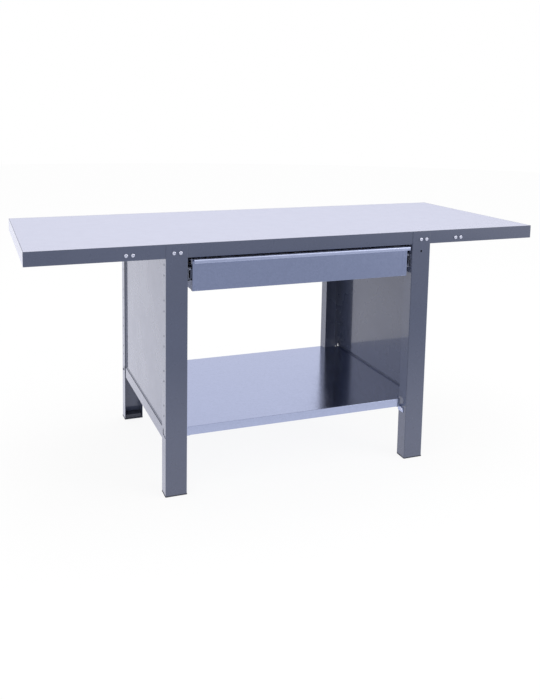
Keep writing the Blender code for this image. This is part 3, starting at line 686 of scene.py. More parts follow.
def make_long_beam(end):
    way = ENDS[end]
    line = [at(-half_length, way * half_depth, TOP_HEIGHT), at(-half_length, way * half_depth, beam_low),
            at(-half_length, way * (half_depth - BEAM_FLANGE), beam_low)]
    beam = sheet(f"{end}_beam_folded", line, (2 * half_length, 0, 0), (0, way, 0), BEAM_BEND, BEAM_WALL,
                 paint)
    for side in SIDES.values():
        corner = at(side * flange_end, way * member_end, beam_low - BEYOND)
        beyond = at(side * (half_length + BEYOND), way * (half_depth - BEAM_FLANGE - BEYOND),
                    beam_low + BEYOND)
        boolean(beam, box_mesh(corner, beyond))
    for place, step in bolt_pairs(end):
        start = Vector((place.x, MIDDLE_Y + way * half_depth, place.z))
        punch_holes(beam, start, step, 2, BOLT_HOLE, (0, 1, 0))
    finish_piece(beam, "frame", [f"{end}_beam"])


def make_end_beam(side):
    way = SIDES[side]
    line = [at(way * half_length, -end_reach, TOP_HEIGHT), at(way * half_length, -end_reach, beam_low),
            at(way * (half_length - BEAM_FLANGE), -end_reach, beam_low)]
    beam = sheet(f"{side}_end_beam_folded", line, (0, 2 * end_reach, 0), (way, 0, 0), BEAM_BEND, BEAM_WALL,
                 paint)
    for end in ENDS.values():
        corner = at(way * (flange_end + SEAT_GAP), end * (half_depth - BEAM_FLANGE - SEAT_GAP),
                    beam_low - BEYOND)
        beyond = at(way * (half_length - BEAM_FLANGE - BEYOND), end * half_depth, beam_low + BEYOND)
        boolean(beam, box_mesh(corner, beyond))
    finish_piece(beam, "frame", [f"{side}_end_beam"])


for end in ENDS:
    make_long_beam(end)
for side in SIDES:
    make_end_beam(side)
print("beams", [piece.name for piece in made_pieces])

# %% [markdown]
# ## Pans
# Drawer, shelf and cross members are pans: a flat base whose edges turn up on four sides. A pan is not a
# pulled line, so here the base's edges are pulled up in one mesh, a Bevel modifier gives every fold its
# arc and Solidify gives the wall. The rim can turn once more, as it does on the drawer's box.

# %% Pans from one sheet


def pull(bm, edges, offset):
    """Pulls edges by a vector and returns the new ones."""
    swept = bmesh.ops.extrude_edge_only(bm, edges=edges)["geom"]
    bmesh.ops.translate(bm, verts=corners_of(swept), vec=offset)
    return [item for item in swept if isinstance(item, bmesh.types.BMEdge)]


def face_out(bm, outward):
    """Turns an open sheet's faces so that its widest one looks outward."""
    bmesh.ops.recalc_face_normals(bm, faces=bm.faces)
    widest = max(bm.faces, key=lambda face: face.calc_area())
    if widest.normal.dot(Vector(outward)) < 0:
        bmesh.ops.reverse_faces(bm, faces=bm.faces)


def fold_sheet(name, bm, bend, wall, material, least=math.radians(45)):
    """Makes an open sheet into a piece with rounded folds and one wall of thickness."""
    piece = new_piece(name, smooth_mesh(bm, name), material)
    bevel_edges(piece, "Folds", bend, BEND_STEPS, least)
    solidify = piece.modifiers.new("Wall", "SOLIDIFY")
    solidify.thickness = wall
    solidify.offset = -1
    solidify.use_even_offset = True
    return settle(piece)


def pan(name, low, high, opening, bend, wall, material, rim=0.0):
    """A pan between two corners, open towards one axis, with a rim turned in by that much."""
    middle, size = (low + high) / 2, high - low
    axis = max(range(3), key=lambda index: abs(opening[index]))
    sides = [index for index in range(3) if index != axis]
    bm = bmesh.new()
    corners = []
    for first, second in ((-1, -1), (1, -1), (1, 1), (-1, 1)):
        point = middle.copy()
        point[sides[0]] += first * size[sides[0]] / 2
        point[sides[1]] += second * size[sides[1]] / 2
        point[axis] -= opening[axis] * size[axis] / 2
        corners.append(bm.verts.new(point))
    bm.faces.new(corners)
    top = pull(bm, bm.edges[:], Vector(opening) * size[axis])
    if rim:
        turned = bmesh.ops.extrude_edge_only(bm, edges=[edge for edge in top if edge.is_boundary])["geom"]
        for vert in corners_of(turned):
            for index in sides:
                vert.co[index] -= math.copysign(rim, vert.co[index] - middle[index])
    face_out(bm, -Vector(opening))
    return fold_sheet(name, bm, bend, wall, material)


# %% [markdown]
# ## Cross members
# Under the board run four channels, open downwards, one at each leg pair and one in each overhang. The
# bolts in the long beams reach into nuts that are clinched to the members' end walls.

# %% Cross members
MEMBER_WALL = 0.002
MEMBER_BEND = 0.002


def make_cross_member(name):
    node = f"{name}_cross_member"
    low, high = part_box(node)
    member = pan(f"{node}_folded", low, high, (0, 0, -1), MEMBER_BEND, MEMBER_WALL, paint)
    for end, way in ENDS.items():
        for place, step in bolt_pairs(end):
            if low.x < place.x < high.x:
                start = Vector((place.x, MIDDLE_Y + way * member_end, place.z))
                punch_holes(member, start, step, 2, BOLT_HOLE, (0, 1, 0))
    finish_piece(member, "frame", [node])


for side in SIDES:
    for place in ("inner", "outer"):
        make_cross_member(f"{side}_{place}")
print("cross members", [piece.name for piece in made_pieces[-4:]])

# %% [markdown]
# ## Board and top sheet
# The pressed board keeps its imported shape, because a board is a board, and gets its chips from the
# material. The top sheet is made anew: its upper edges are eased, so that the joint with the beams reads
# as a fine line.

# %% Board and top sheet
board_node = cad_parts["worktop_board"]
for index in range(len(board_node.data.materials)):
    board_node.material_slots[index].material = board
surface = new_piece("worktop_laminate", box_mesh(surface_low, surface_high), laminate)
finish_piece(surface, "frame", ["worktop_surface"], edge=SOFT_EDGE)
print("top sheet", [round(value, 4) for value in surface.dimensions])

# %% [markdown]
# ## Legs
# A leg is a channel: its web faces the front or the rear, and both flanges point inwards. The web stands
# in front of the long beam, where two bolts hold it, and the flanges stop under the beam. The outer
# flange has five pairs of round holes and, beside the rail's end, a hook-shaped slot. The flange tops are
# cut last, because a bevel would spread sideways on the thin corner that is left beside the bend.

# %% Legs
LEG_WALL = 0.002
LEG_BEND = 0.003
LEG_BOTTOM, LEG_TOP = (corner.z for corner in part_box("front_left_leg"))
FLANGE_TOP = beam_low - SEAT_GAP
flange_middle = (leg_free + leg_face) / 2
HOLE_TOP = beam_low - 0.023
HOLE_SPACING = 0.036
HOLE_PITCH = 0.120
HOLE_PAIRS = 5
SLIDE_Z = HOLE_TOP - HOLE_SPACING
SHELF_BOLT_Z = middle_of("front_left_shelf_bolt").z
RAIL_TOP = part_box("left_side_rail")[1].z
FLANGE_HOLE, SHELF_BOLT_HOLE, SCREW_HOLE, SPARE_HOLE = 0.0035, 0.0033, 0.0025, 0.004
SPARE_DROP = 0.0025
SLOT_WIDTH, SLOT_HEIGHT = 0.009, 0.022
SLOT_INSET, SLOT_DROP = 0.0088, 0.009
TAIL_WIDTH, TAIL_LENGTH, TAIL_DROP = 0.006, 0.0315, 0.007
TAIL_TILT = math.radians(11.5)
SLOT_STEPS = 12
slot_y, slot_z = flange_middle - SLOT_INSET, RAIL_TOP - SLOT_DROP
leg_middle = (leg_inner + leg_outer) / 2


def slot_mesh(centre, length, width, tilt):
    """A bar with round ends through a wall that faces X, tilted about X."""
    bm = bmesh.new()
    straight = (length - width) / 2
    ring = []
    for end in (1, -1):
        for step in range(SLOT_STEPS + 1):
            turn = math.pi * (step / SLOT_STEPS - 0.5) + (0 if end > 0 else math.pi)
            ring.append((end * straight + width / 2 * math.cos(turn), width / 2 * math.sin(turn)))
    face = bm.faces.new([bm.verts.new((-PUNCH_DEPTH / 2, y, z)) for y, z in ring])
    far = bmesh.ops.extrude_face_region(bm, geom=[face])["geom"]
    bmesh.ops.translate(bm, verts=corners_of(far), vec=(PUNCH_DEPTH, 0, 0))
    bmesh.ops.rotate(bm, verts=bm.verts, matrix=Matrix.Rotation(tilt, 3, "X"))
    bmesh.ops.translate(bm, verts=bm.verts, vec=centre)
    return mesh_from(bm, "slot")


def make_leg(side, end):
    sign, way = SIDES[side], ENDS[end]
    node = f"{end}_{side}_leg"
    line = [at(sign * x, way * y, LEG_BOTTOM) for x, y in
            ((leg_inner, leg_free), (leg_inner, leg_face), (leg_outer, leg_face), (leg_outer, leg_free))]
    leg = sheet(f"{node}_folded", line, (0, 0, LEG_TOP - LEG_BOTTOM), (0, way, 0), LEG_BEND, LEG_WALL, paint)
    upright = at(sign * leg_outer, way * slot_y, slot_z)
    boolean(leg, slot_mesh(upright, SLOT_HEIGHT, SLOT_WIDTH, math.pi / 2))
    reach = (TAIL_LENGTH - TAIL_WIDTH) / 2
    tail = upright + Vector((0, way * reach * math.cos(TAIL_TILT), -TAIL_DROP - reach * math.sin(TAIL_TILT)))
    boolean(leg, slot_mesh(tail, TAIL_LENGTH, TAIL_WIDTH, -way * TAIL_TILT))
    for top in (HOLE_TOP, HOLE_TOP - HOLE_SPACING):
        start = at(sign * leg_outer, way * flange_middle, top)
        punch_holes(leg, start, (0, 0, -HOLE_PITCH), HOLE_PAIRS, FLANGE_HOLE, (1, 0, 0))
    for z, radius in ((SHELF_BOLT_Z, SHELF_BOLT_HOLE), (SLIDE_Z, SCREW_HOLE)):
        punch_hole(leg, at(sign * leg_inner, way * flange_middle, z), radius, (1, 0, 0))
    for place, step in bolt_pairs(end):
        if leg_inner < abs(place.x) < leg_outer and place.x * sign > 0:
            start = Vector((place.x, MIDDLE_Y + way * leg_face, place.z))
            punch_holes(leg, start, step, 2, BOLT_HOLE, (0, 1, 0))
    if node == "front_right_leg":
        punch_hole(leg, at(leg_middle, way * leg_face, HOLE_TOP - SPARE_DROP), SPARE_HOLE, (0, 1, 0))
    dull_edges(leg, CUT_EDGE)
    settle(leg)
    corner = at(sign * (leg_inner - BEYOND), way * (leg_face - LEG_WALL), FLANGE_TOP)
    beyond = at(sign * (leg_outer + BEYOND), way * (leg_free - BEYOND), LEG_TOP + BEYOND)
    boolean(leg, box_mesh(corner, beyond))
    finish_piece(leg, "frame", [node], edge=0)


for side, end in CORNERS:
    make_leg(side, end)
print("legs", [len(piece.data.polygons) for piece in made_pieces[-4:]])

# %% [markdown]
# ## Feet
# Each leg ends in a moulded foot: a plate with rounded corners, a little wider than the leg, and a plug that
# holds it. Its flat top shows in the rear legs, and only a thin dark line of it below the front ones.

# %% Feet
FOOT_PLATE = 0.003
FOOT_MARGIN = 0.001
FOOT_CORNER = 0.003
PLUG_PLAY = 0.0008
PLUG_CORNER = 0.002


def rounded_block(bm, low, high, radius, steps=4):
    """Adds an upright block whose four upright edges are rounded."""
    rim = []
    for turn, x, y in ((0, high.x, high.y), (1, low.x, high.y), (2, low.x, low.y), (3, high.x, low.y)):
        centre = Vector((x - math.copysign(radius, x - (low.x + high.x) / 2),
                         y - math.copysign(radius, y - (low.y + high.y) / 2)))
        for step in range(steps + 1):
            angle = (turn + step / steps) * math.pi / 2
            rim.append(centre + radius * Vector((math.cos(angle), math.sin(angle))))
    lower = [bm.verts.new((*point, low.z)) for point in rim]
    upper = [bm.verts.new((*point, high.z)) for point in rim]
    bm.faces.new(lower)
    bm.faces.new(upper)
    for index in range(len(rim)):
        on = (index + 1) % len(rim)
        bm.faces.new((lower[index], lower[on], upper[on], upper[index]))


def make_foot(side, end):
    node = f"{end}_{side}_foot"
    low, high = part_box(node)
    bm = bmesh.new()
    rounded_block(bm, low, Vector((high.x, high.y, FOOT_PLATE)), FOOT_CORNER)
    foot = new_piece(f"{node}_moulded", mesh_from(bm, node), foot_plastic)
    inset = FOOT_MARGIN + LEG_BEND + PLUG_PLAY
    bm = bmesh.new()
    rounded_block(bm, Vector((low.x + inset, low.y + inset, FOOT_PLATE / 2)),
                  Vector((high.x - inset, high.y - inset, high.z)), PLUG_CORNER)
    boolean(foot, mesh_from(bm, "plug"), "UNION")
    finish_piece(foot, "frame", [node], edge=SOFT_EDGE)


for side, end in CORNERS:
    make_foot(side, end)
print("feet", [piece.name for piece in made_pieces[-4:]])

# %% [markdown]
# ## Side panels
# Between the legs of a side frame hangs a sheet, a few millimetres in from the legs' outer faces. Beside each
# leg it steps outwards and laps behind the outer flange, which is why the holes there look closed, and at the
# bottom it steps out behind the rail. A pulled line can step at two ends only, so the panel is a grid: its
# outermost rows and columns of points are moved out, and each step is softened by a Bevel modifier.

# %% Side panels
PANEL_WALL = 0.0012
PANEL_BEND = 0.0012
PANEL_RECESS = 0.0065
PANEL_LAP = 0.030
PANEL_STEP = 0.004
STEP_MARGIN = 0.002
STEP_START, STEP_END = 0.0006, 0.0036
STEP_ANGLE = math.radians(20)
SLOT_MARGIN = 0.001
RETURN_REACH = 0.020
RAIL_WALL = 0.0015
RAIL_LAP = 0.008
behind_flange = leg_outer - LEG_WALL - SEAT_GAP
behind_rail = behind_flange - RAIL_WALL - SEAT_GAP
panel_face = leg_outer - PANEL_RECESS
rail_end = leg_free + RAIL_LAP


def make_side_panel(side):
    sign = SIDES[side]
    low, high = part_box(f"{side}_side_panel")
    step_end = leg_free - STEP_MARGIN
    near = (step_end - PANEL_STEP, step_end, leg_free + PANEL_LAP)
    columns = [-y for y in reversed(near)] + list(near)
    rows = (low.z, RAIL_TOP + STEP_START, RAIL_TOP + STEP_END, high.z)
    bm = bmesh.new()
    grid = []
    for y in columns:
        above = behind_flange if abs(y) >= step_end else panel_face
        places = [(behind_rail if row < 2 else above, z) for row, z in enumerate(rows)]
        grid.append([bm.verts.new(at(sign * x, y, z)) for x, z in places])
    for column, following in zip(grid, grid[1:]):
        for row in range(3):
            corners = (column[row], following[row], following[row + 1], column[row + 1])
            bm.faces.new(corners if sign > 0 else corners[::-1])
    panel = fold_sheet(f"{side}_side_panel_folded", bm, PANEL_BEND, PANEL_WALL, paint, STEP_ANGLE)
    first = at(sign * (panel_face - PANEL_WALL / 2), -leg_free + PANEL_STEP * 2, high.z - PANEL_WALL)
    second = at(sign * (panel_face - RETURN_REACH), leg_free - PANEL_STEP * 2, high.z)
    boolean(panel, box_mesh(first, second), "UNION")
    for way in ENDS.values():
        corner = at(sign * (panel_face - BEYOND), way * rail_end, low.z - BEYOND)
        beyond = at(sign * leg_outer, way * leg_face, slot_z + SLOT_HEIGHT / 2 + SLOT_MARGIN)
        boolean(panel, box_mesh(corner, beyond))
    finish_piece(panel, "frame", [f"{side}_side_panel"])


for side in SIDES:
    make_side_panel(side)
print("panels", [piece.name for piece in made_pieces[-2:]])

# %% [markdown]
# ## Side rails
# Below each panel runs a rail, an angle with its web behind the legs' outer flanges. Its wide lower flange
# carries the shelf's end, and stops where the legs begin.

# %% Side rails
RAIL_BEND = 0.0024
RAIL_FLANGE = 0.040
PLATE_GAP = 0.0048
plate_y = leg_free - PLATE_GAP


def make_side_rail(side):
    sign = SIDES[side]
    low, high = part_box(f"{side}_side_rail")
    line = [at(sign * behind_flange, -rail_end, high.z), at(sign * behind_flange, -rail_end, low.z),
            at(sign * (behind_flange - RAIL_FLANGE), -rail_end, low.z)]
    rail = sheet(f"{side}_side_rail_folded", line, (0, 2 * rail_end, 0), (sign, 0, 0), RAIL_BEND,
                 RAIL_WALL, paint)
    for way in ENDS.values():
        corner = at(sign * (behind_flange - RAIL_WALL - RAIL_BEND), way * plate_y, low.z - BEYOND)
        beyond = at(sign * (behind_flange - RAIL_FLANGE - BEYOND), way * (rail_end + BEYOND), low.z + BEYOND)
        boolean(rail, box_mesh(corner, beyond))
    finish_piece(rail, "frame", [f"{side}_side_rail"], edge=SOFT_EDGE)


for side in SIDES:
    make_side_rail(side)
print("rails", [piece.name for piece in made_pieces[-2:]])

# %% [markdown]
# ## Shelf
# The shelf is one sheet with lips turned down. The deeper lips at its ends stand on the rails, and a tongue
# reaches out to the front and to the rear between the legs, so its outline is a cross with notched corners.

# %% Shelf
SHELF_WALL = 0.0012
SHELF_BEND = 0.0015
TONGUE_X = 0.418
shelf_low, shelf_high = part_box("shelf")
tongue_y = (shelf_high.y - shelf_low.y) / 2
SHELF_LIP = 0.030
LIP_TAPER = 0.001
END_LIP = shelf_high.z - shelf_low.z


def make_shelf():
    xs = (shelf_low.x, -TONGUE_X, TONGUE_X, shelf_high.x)
    ys = (-tongue_y, -plate_y, plate_y, tongue_y)
    bm = bmesh.new()
    grid = [[bm.verts.new(at(x, y, shelf_high.z)) for y in ys] for x in xs]
    for column in range(3):
        for row in range(3):
            if 1 in (column, row):
                bm.faces.new((grid[column][row], grid[column + 1][row], grid[column + 1][row + 1],
                              grid[column][row + 1]))
    for vert in [vert for vert in bm.verts if not vert.link_faces]:
        bm.verts.remove(vert)
    for axis, drop in ((1, SHELF_LIP), (0, END_LIP)):
        outermost = max(abs(vert.co[axis] - CENTRE[axis]) for vert in bm.verts)
        edges = [edge for edge in bm.edges if edge.is_boundary and all(
            abs(abs(vert.co[axis] - CENTRE[axis]) - outermost) < TOO_CLOSE
            and vert.co.z > shelf_high.z - TOO_CLOSE for vert in edge.verts)]
        hem = {vert for edge in pull(bm, edges, (0, 0, -drop)) for vert in edge.verts
               if vert.co.z < shelf_high.z - drop / 2}
        along = 1 - axis
        for vert in hem:
            vert.co[along] -= math.copysign(LIP_TAPER, vert.co[along] - CENTRE[along])
    face_out(bm, (0, 0, 1))
    shelf = fold_sheet("shelf_folded", bm, SHELF_BEND, SHELF_WALL, galvanised)
    finish_piece(shelf, "frame", ["shelf"], edge=THIN_EDGE)
    print("shelf", len(shelf.data.polygons), "faces")


make_shelf()

# %% [markdown]
# Under each end of a tongue sits a small angle, bolted to the leg's inner flange. Its ledge is shorter than
# the plate that the bolt holds, so it stays out of sight behind the shelf's lip.

# %% Shelf brackets
BRACKET_WALL = 0.002
BRACKET_BEND = 0.003
LEDGE_DEPTH = 0.018
LEDGE_CUT = 0.0025


def make_bracket(side, end):
    sign, way = SIDES[side], ENDS[end]
    node = f"{end}_{side}_shelf_bracket"
    near_x, far_x = near_far(node, 0)
    near_y, far_y = near_far(node, 1)
    low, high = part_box(node)
    line = [Vector((far_x, near_y, low.z)), Vector((far_x, near_y, high.z)), Vector((near_x, near_y, high.z))]
    bracket = sheet(f"{node}_folded", line, (0, far_y - near_y, 0), (sign, 0, 0), BRACKET_BEND,
                    BRACKET_WALL, galvanised)
    corner = Vector((far_x + sign * BEYOND, near_y + way * LEDGE_DEPTH, high.z - LEDGE_CUT))
    beyond = Vector((near_x - sign * BEYOND, far_y + way * BEYOND, high.z + BEYOND))
    boolean(bracket, box_mesh(corner, beyond))
    punch_hole(bracket, at(far_x, way * flange_middle, SHELF_BOLT_Z), SHELF_BOLT_HOLE, (1, 0, 0))
    finish_piece(bracket, "frame", [node])


for side, end in CORNERS:
    make_bracket(side, end)
print("brackets", [piece.name for piece in made_pieces[-4:]])

# %% [markdown]
# ## Drawer
# The front is a shallow pan, open to the rear, with two fine creases pressed in near each end. A crease
# could be cut with a Boolean, but that leaves long thin faces whose shading shows as a diagonal streak. So
# the front's base is a grid from the start, with narrow columns where the creases run, and only the middle
# row of points is pushed in: each crease fades out before it reaches a fold.

# %% Drawer front
front_low, front_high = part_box("drawer_front")
CREASES = (0.0100, 0.0190)
CREASE_PROFILE = ((-0.0013, 0.0), (-0.0006, 0.6), (0.0, 1.0), (0.0006, 0.6), (0.0013, 0.0))
CREASE_DEPTH = 0.0011
CREASE_MARGIN = 0.004
DRAWER_BEND = 0.0015
FRONT_WALL, BOX_WALL, BOX_RIM = 0.0012, 0.001, 0.008


def make_drawer_front():
    half, middle = (front_high.x - front_low.x) / 2, (front_high.x + front_low.x) / 2
    columns = [(-half, 0.0), (half, 0.0)]
    for inset in CREASES:
        for shift, share in CREASE_PROFILE:
            columns += [(sign * (half - inset) + shift, share * CREASE_DEPTH) for sign in SIDES.values()]
    columns.sort()
    rows = (front_low.z, front_low.z + CREASE_MARGIN, front_high.z - CREASE_MARGIN, front_high.z)
    bm = bmesh.new()
    grid = [[bm.verts.new((middle + x, front_low.y + (depth if 0 < row < 3 else 0.0), z))
             for row, z in enumerate(rows)] for x, depth in columns]
    for column, following in zip(grid, grid[1:]):
        for row in range(3):
            bm.faces.new((column[row], following[row], following[row + 1], column[row + 1]))
    rim = [edge for edge in bm.edges if edge.is_boundary]
    pull(bm, rim, (0, front_high.y - front_low.y, 0))
    face_out(bm, (0, -1, 0))
    front = fold_sheet("drawer_front_folded", bm, DRAWER_BEND, FRONT_WALL, galvanised)
    finish_piece(front, "drawer", ["drawer_front"], edge=THIN_EDGE)
    print("drawer front", len(front.data.polygons), "faces")


make_drawer_front()

# %% [markdown]
# The box behind the front is a deeper pan whose rim turns in once, which stiffens it and takes away the
# sharp edge.

# %% Drawer box
body_low, body_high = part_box("drawer_body")
drawer_box = pan("drawer_box_folded", body_low, body_high, (0, 0, 1), DRAWER_BEND, BOX_WALL, galvanised,
                 rim=BOX_RIM)
finish_piece(drawer_box, "drawer", ["drawer_body"], edge=FINE_EDGE)
print("drawer box", len(drawer_box.data.polygons), "faces")

# %% [markdown]
# Along the front's upper edge runs a bright strip: it starts on the front, hooks forwards and down, and
# turns back in a short curl that the fingers pull. It is one bent line, pulled across the drawer.

# %% Handle strip
STRIP_WALL = 0.0018
STRIP_BENDS = [0.0025, 0.0035]
STRIP_CURL = 0.005
STRIP_EDGE = 0.00035
handle_low, handle_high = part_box("drawer_handle")
strip_line = [Vector((handle_low.x, y, z)) for y, z in (
    (handle_low.y + STRIP_CURL, handle_low.z), (handle_low.y, handle_low.z),
    (handle_low.y, handle_high.z), (handle_high.y, handle_high.z))]
strip = sheet("drawer_handle_strip", strip_line, (handle_high.x - handle_low.x, 0, 0), (0, 0, 1), STRIP_BENDS,
              STRIP_WALL, aluminium)
finish_piece(strip, "drawer", ["drawer_handle"], edge=STRIP_EDGE)
print("strip", [round(value, 4) for value in strip.dimensions])

# %% [markdown]
# ## Ball slides
# A slide is three channels, one inside the other, which roll on two rows of balls each. The flanges are
# not flat: a shallow raceway is rolled in where the balls run. So the line of a channel is its flange
# with a small wave in it, round the corner, down the web and back. A slide that is only a bracket would
# look like a plain strip as soon as the drawer is open.

# %% Slide members
SLIDE_WALLS = {"outer": 0.0015, "middle": 0.0012, "inner": 0.0012}
BALL_RADIUS = 0.0015
OUTER_ROW_X = 0.4172
INNER_ROW_X = 0.4128
WAVE_HALF = 0.0016
WAVE_HEIGHT = 0.0003
SLIDE_BEND = 0.0018
ROLLED_STEPS = 3
FLANGE_STEPS = 14
CLEAR_OF_BEND = 1.2 * SLIDE_BEND


def wave(x, rows):
    """How far the flange leans out at x. rows lists each raceway's X and which way it leans."""
    lean = 0.0
    for row, way in rows:
        share = abs(x - row) / WAVE_HALF
        if share < 1:
            lean += way * WAVE_HEIGHT * (1 + math.cos(math.pi * share)) / 2
    return lean


def channel_line(sign, web, lip, y, half, rows):
    """The channel's outer line in a plane across Y: upper flange, web, lower flange."""
    flange = [lip + (web - lip) * step / FLANGE_STEPS for step in range(FLANGE_STEPS)]
    flange = [x for x in flange if abs(web - x) > CLEAR_OF_BEND]
    upper = [Vector((sign * x, y, SLIDE_Z + half + wave(x, rows))) for x in flange]
    lower = [Vector((sign * x, y, SLIDE_Z - half - wave(x, rows))) for x in reversed(flange)]
    corners = [Vector((sign * web, y, SLIDE_Z + half)), Vector((sign * web, y, SLIDE_Z - half))]
    radii = [0] * (len(upper) - 1) + [SLIDE_BEND] * 2 + [0] * (len(lower) - 1)
    return rounded_line(upper + corners + lower, radii, ROLLED_STEPS)


RACEWAYS = {
    "outer": [(OUTER_ROW_X, 1)],
    "middle": [(OUTER_ROW_X, -1), (INNER_ROW_X, 1)],
    "inner": [(INNER_ROW_X, -1)],
}
SLIDE_BODIES = {"outer": "frame", "middle": "{side}_middle_slide", "inner": "drawer"}
DRAWER_SCREW_START, DRAWER_SCREW_PITCH = 0.065, 0.095
SLIDE_HOLE_SIDES = 20
# Each member's first hole, pitch, count and radius, from the bench's middle or else from the front end
SLIDE_HOLES = {
    "outer": (-flange_middle, 2 * flange_middle, 2, SCREW_HOLE),
    "middle": (0.040, 0.0725, 9, 0.0045),
    "inner": (DRAWER_SCREW_START, DRAWER_SCREW_PITCH, 6, 0.0028),
}


def make_slide_member(side, kind):
    sign = SIDES[side]
    node = f"{side}_slide_{kind}"
    near_x, far_x = (abs(place) for place in near_far(node, 0))
    low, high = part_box(node)
    web, lip = (near_x, far_x) if kind == "inner" else (far_x, near_x)
    half = (high.z - low.z) / 2
    line = channel_line(sign, web, lip, low.y, half, RACEWAYS[kind])
    outward = (-sign if kind == "inner" else sign, 0, 0)
    bm = bmesh.new()
    add_sheet(bm, line, (0, high.y - low.y, 0), outward, SLIDE_WALLS[kind])
    member = new_piece(f"{node}_rolled", mesh_from(bm, node), slide_steel)
    first_y, pitch, count, radius = SLIDE_HOLES[kind]
    start = Vector((sign * web, first_y + (MIDDLE_Y if kind == "outer" else low.y), SLIDE_Z))
    punch_holes(member, start, (0, pitch, 0), count, radius, (1, 0, 0), sides=SLIDE_HOLE_SIDES)
    body = SLIDE_BODIES[kind].format(side=side)
    finish_piece(member, body, [node], edge=FINE_EDGE)


for side in SIDES:
    for kind in ("outer", "middle", "inner"):
        make_slide_member(side, kind)
print("slides", [len(piece.data.polygons) for piece in made_pieces[-6:]])

# %% [markdown]
# ## Rows of balls
# The balls sit in their cages at an even pitch, in two rows per cage. A row is again a start, a step and
# a count, so one tree serves all of them. Four cages move at four speeds, so each gets a mesh of its own
# that rides with it. A ball this small needs only a few faces.

# %% Tree for a row of balls
ball_rows, given, put = new_tree("ball_rows", [
    ("Start", VECTOR, None), ("Step", VECTOR, None), ("Row Gap", VECTOR, None), ("Count", COUNT, 20),
    ("Radius", VALUE, BALL_RADIUS), ("Material", MATERIAL, None),
])
across = add_node(ball_rows, "GeometryNodeMeshLine", {"mode": "OFFSET"}, {"Count": 2},
                  {"Start Location": given["Start"], "Offset": given["Row Gap"]})
row = add_node(ball_rows, "GeometryNodeMeshLine", {"mode": "OFFSET"},
               links={"Count": given["Count"], "Offset": given["Step"]})
rows = add_node(ball_rows, "GeometryNodeInstanceOnPoints", links={"Points": across, "Instance": row})
points = add_node(ball_rows, "GeometryNodeRealizeInstances", links={"Geometry": rows})
ball = add_node(ball_rows, "GeometryNodeMeshUVSphere", values={"Segments": 10, "Rings": 6},
                links={"Radius": given["Radius"]})
smooth = add_node(ball_rows, "GeometryNodeSetShadeSmooth", links={"Geometry": ball})
balls = add_node(ball_rows, "GeometryNodeInstanceOnPoints", links={"Points": points, "Instance": smooth})
end_tree(ball_rows, balls, given["Material"], put)

# %% Cages and their balls
BALL_PITCH = 0.0125
CAGE_WALL = 0.0008
CAGE_BEND = 0.0015
CAGE_EDGE = 0.0001


def make_cage(side, kind, row_x):
    sign = SIDES[side]
    node = f"{side}_{kind}_ball_cage"
    body = f"{side}_{kind}_cage"
    near_x, far_x = (abs(place) for place in near_far(node, 0))
    low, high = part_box(node)
    half = (high.z - low.z) / 2
    corners = ((near_x, half), (far_x, half), (far_x, -half), (near_x, -half))
    line = rounded_line([(sign * x, low.y, SLIDE_Z + z) for x, z in corners], CAGE_BEND, ROLLED_STEPS)
    bm = bmesh.new()
    add_sheet(bm, line, (0, high.y - low.y, 0), (sign, 0, 0), CAGE_WALL)
    cage = new_piece(f"{node}_strip", mesh_from(bm, node), slide_steel)
    count = int((high.y - low.y) / BALL_PITCH)
    spare = (high.y - low.y - (count - 1) * BALL_PITCH) / 2
    row_z = half - CAGE_WALL / 2
    finish_piece(cage, body, [node], edge=CAGE_EDGE)
    balls = new_piece(f"{side}_{kind}_balls", bpy.data.meshes.new("balls"), None)
    grow(balls, ball_rows, {
        "Start": (sign * row_x, low.y + spare, SLIDE_Z - row_z), "Step": (0, BALL_PITCH, 0),
        "Row Gap": (0, 0, 2 * row_z), "Count": count, "Radius": BALL_RADIUS, "Material": ball_steel,
    })
    hand_over(settle(balls), body)
    return 2 * count


for side in SIDES:
    total = make_cage(side, "outer", OUTER_ROW_X) + make_cage(side, "inner", INNER_ROW_X)
    print(side, "slide has", total, "balls")

# %% [markdown]
# ## Bolts, nuts and screws
# All fasteners are the same few shapes at many places, so each shape is made once and a tree sets a copy
# on every seat. The seats are points with a direction. The heads are low domes with a hexagon socket. The
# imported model's bolts give each seat, so nothing is measured twice.

# %% Shape of a bolt
BOLT_SIDES = 24
BOLT_CREASE = math.radians(38)
CROWN_SHARE, RIM_SHARE = 0.62, 0.25
DOME_STEPS = 4


def ring_radius(radius, flats, angle):
    """The radius at an angle: a circle's, or a hexagon's where flats gives its half width."""
    if not flats:
        return radius
    return flats / math.cos((angle + math.pi / 6) % (math.pi / 3) - math.pi / 6)


def turned_mesh(name, rings, pierced=False):
    """A turned shape from rings of (radius, height, hexagon's half width or 0), from pole to pole.

    A pierced shape has no poles: its last ring joins its first."""
    bm = bmesh.new()
    loops = []
    for radius, height, flats in rings:
        if not radius and not flats:
            loops.append([bm.verts.new((0, 0, height))])
            continue
        angles = [2 * math.pi * step / BOLT_SIDES for step in range(BOLT_SIDES)]
        loops.append([bm.verts.new((ring_radius(radius, flats, angle) * math.cos(angle),
                                    ring_radius(radius, flats, angle) * math.sin(angle), height))
                      for angle in angles])
    for first, second in zip(loops, loops[1:] + (loops[:1] if pierced else [])):
        for index in range(BOLT_SIDES):
            on = (index + 1) % BOLT_SIDES
            corners = [first[index % len(first)], first[on % len(first)], second[on % len(second)],
                       second[index % len(second)]]
            unique = list(dict.fromkeys(corners))
            if len(unique) > 2:
                bm.faces.new(unique)
    mesh = mesh_from(bm, name)
    mesh.set_sharp_from_angle(angle=BOLT_CREASE)
    return mesh


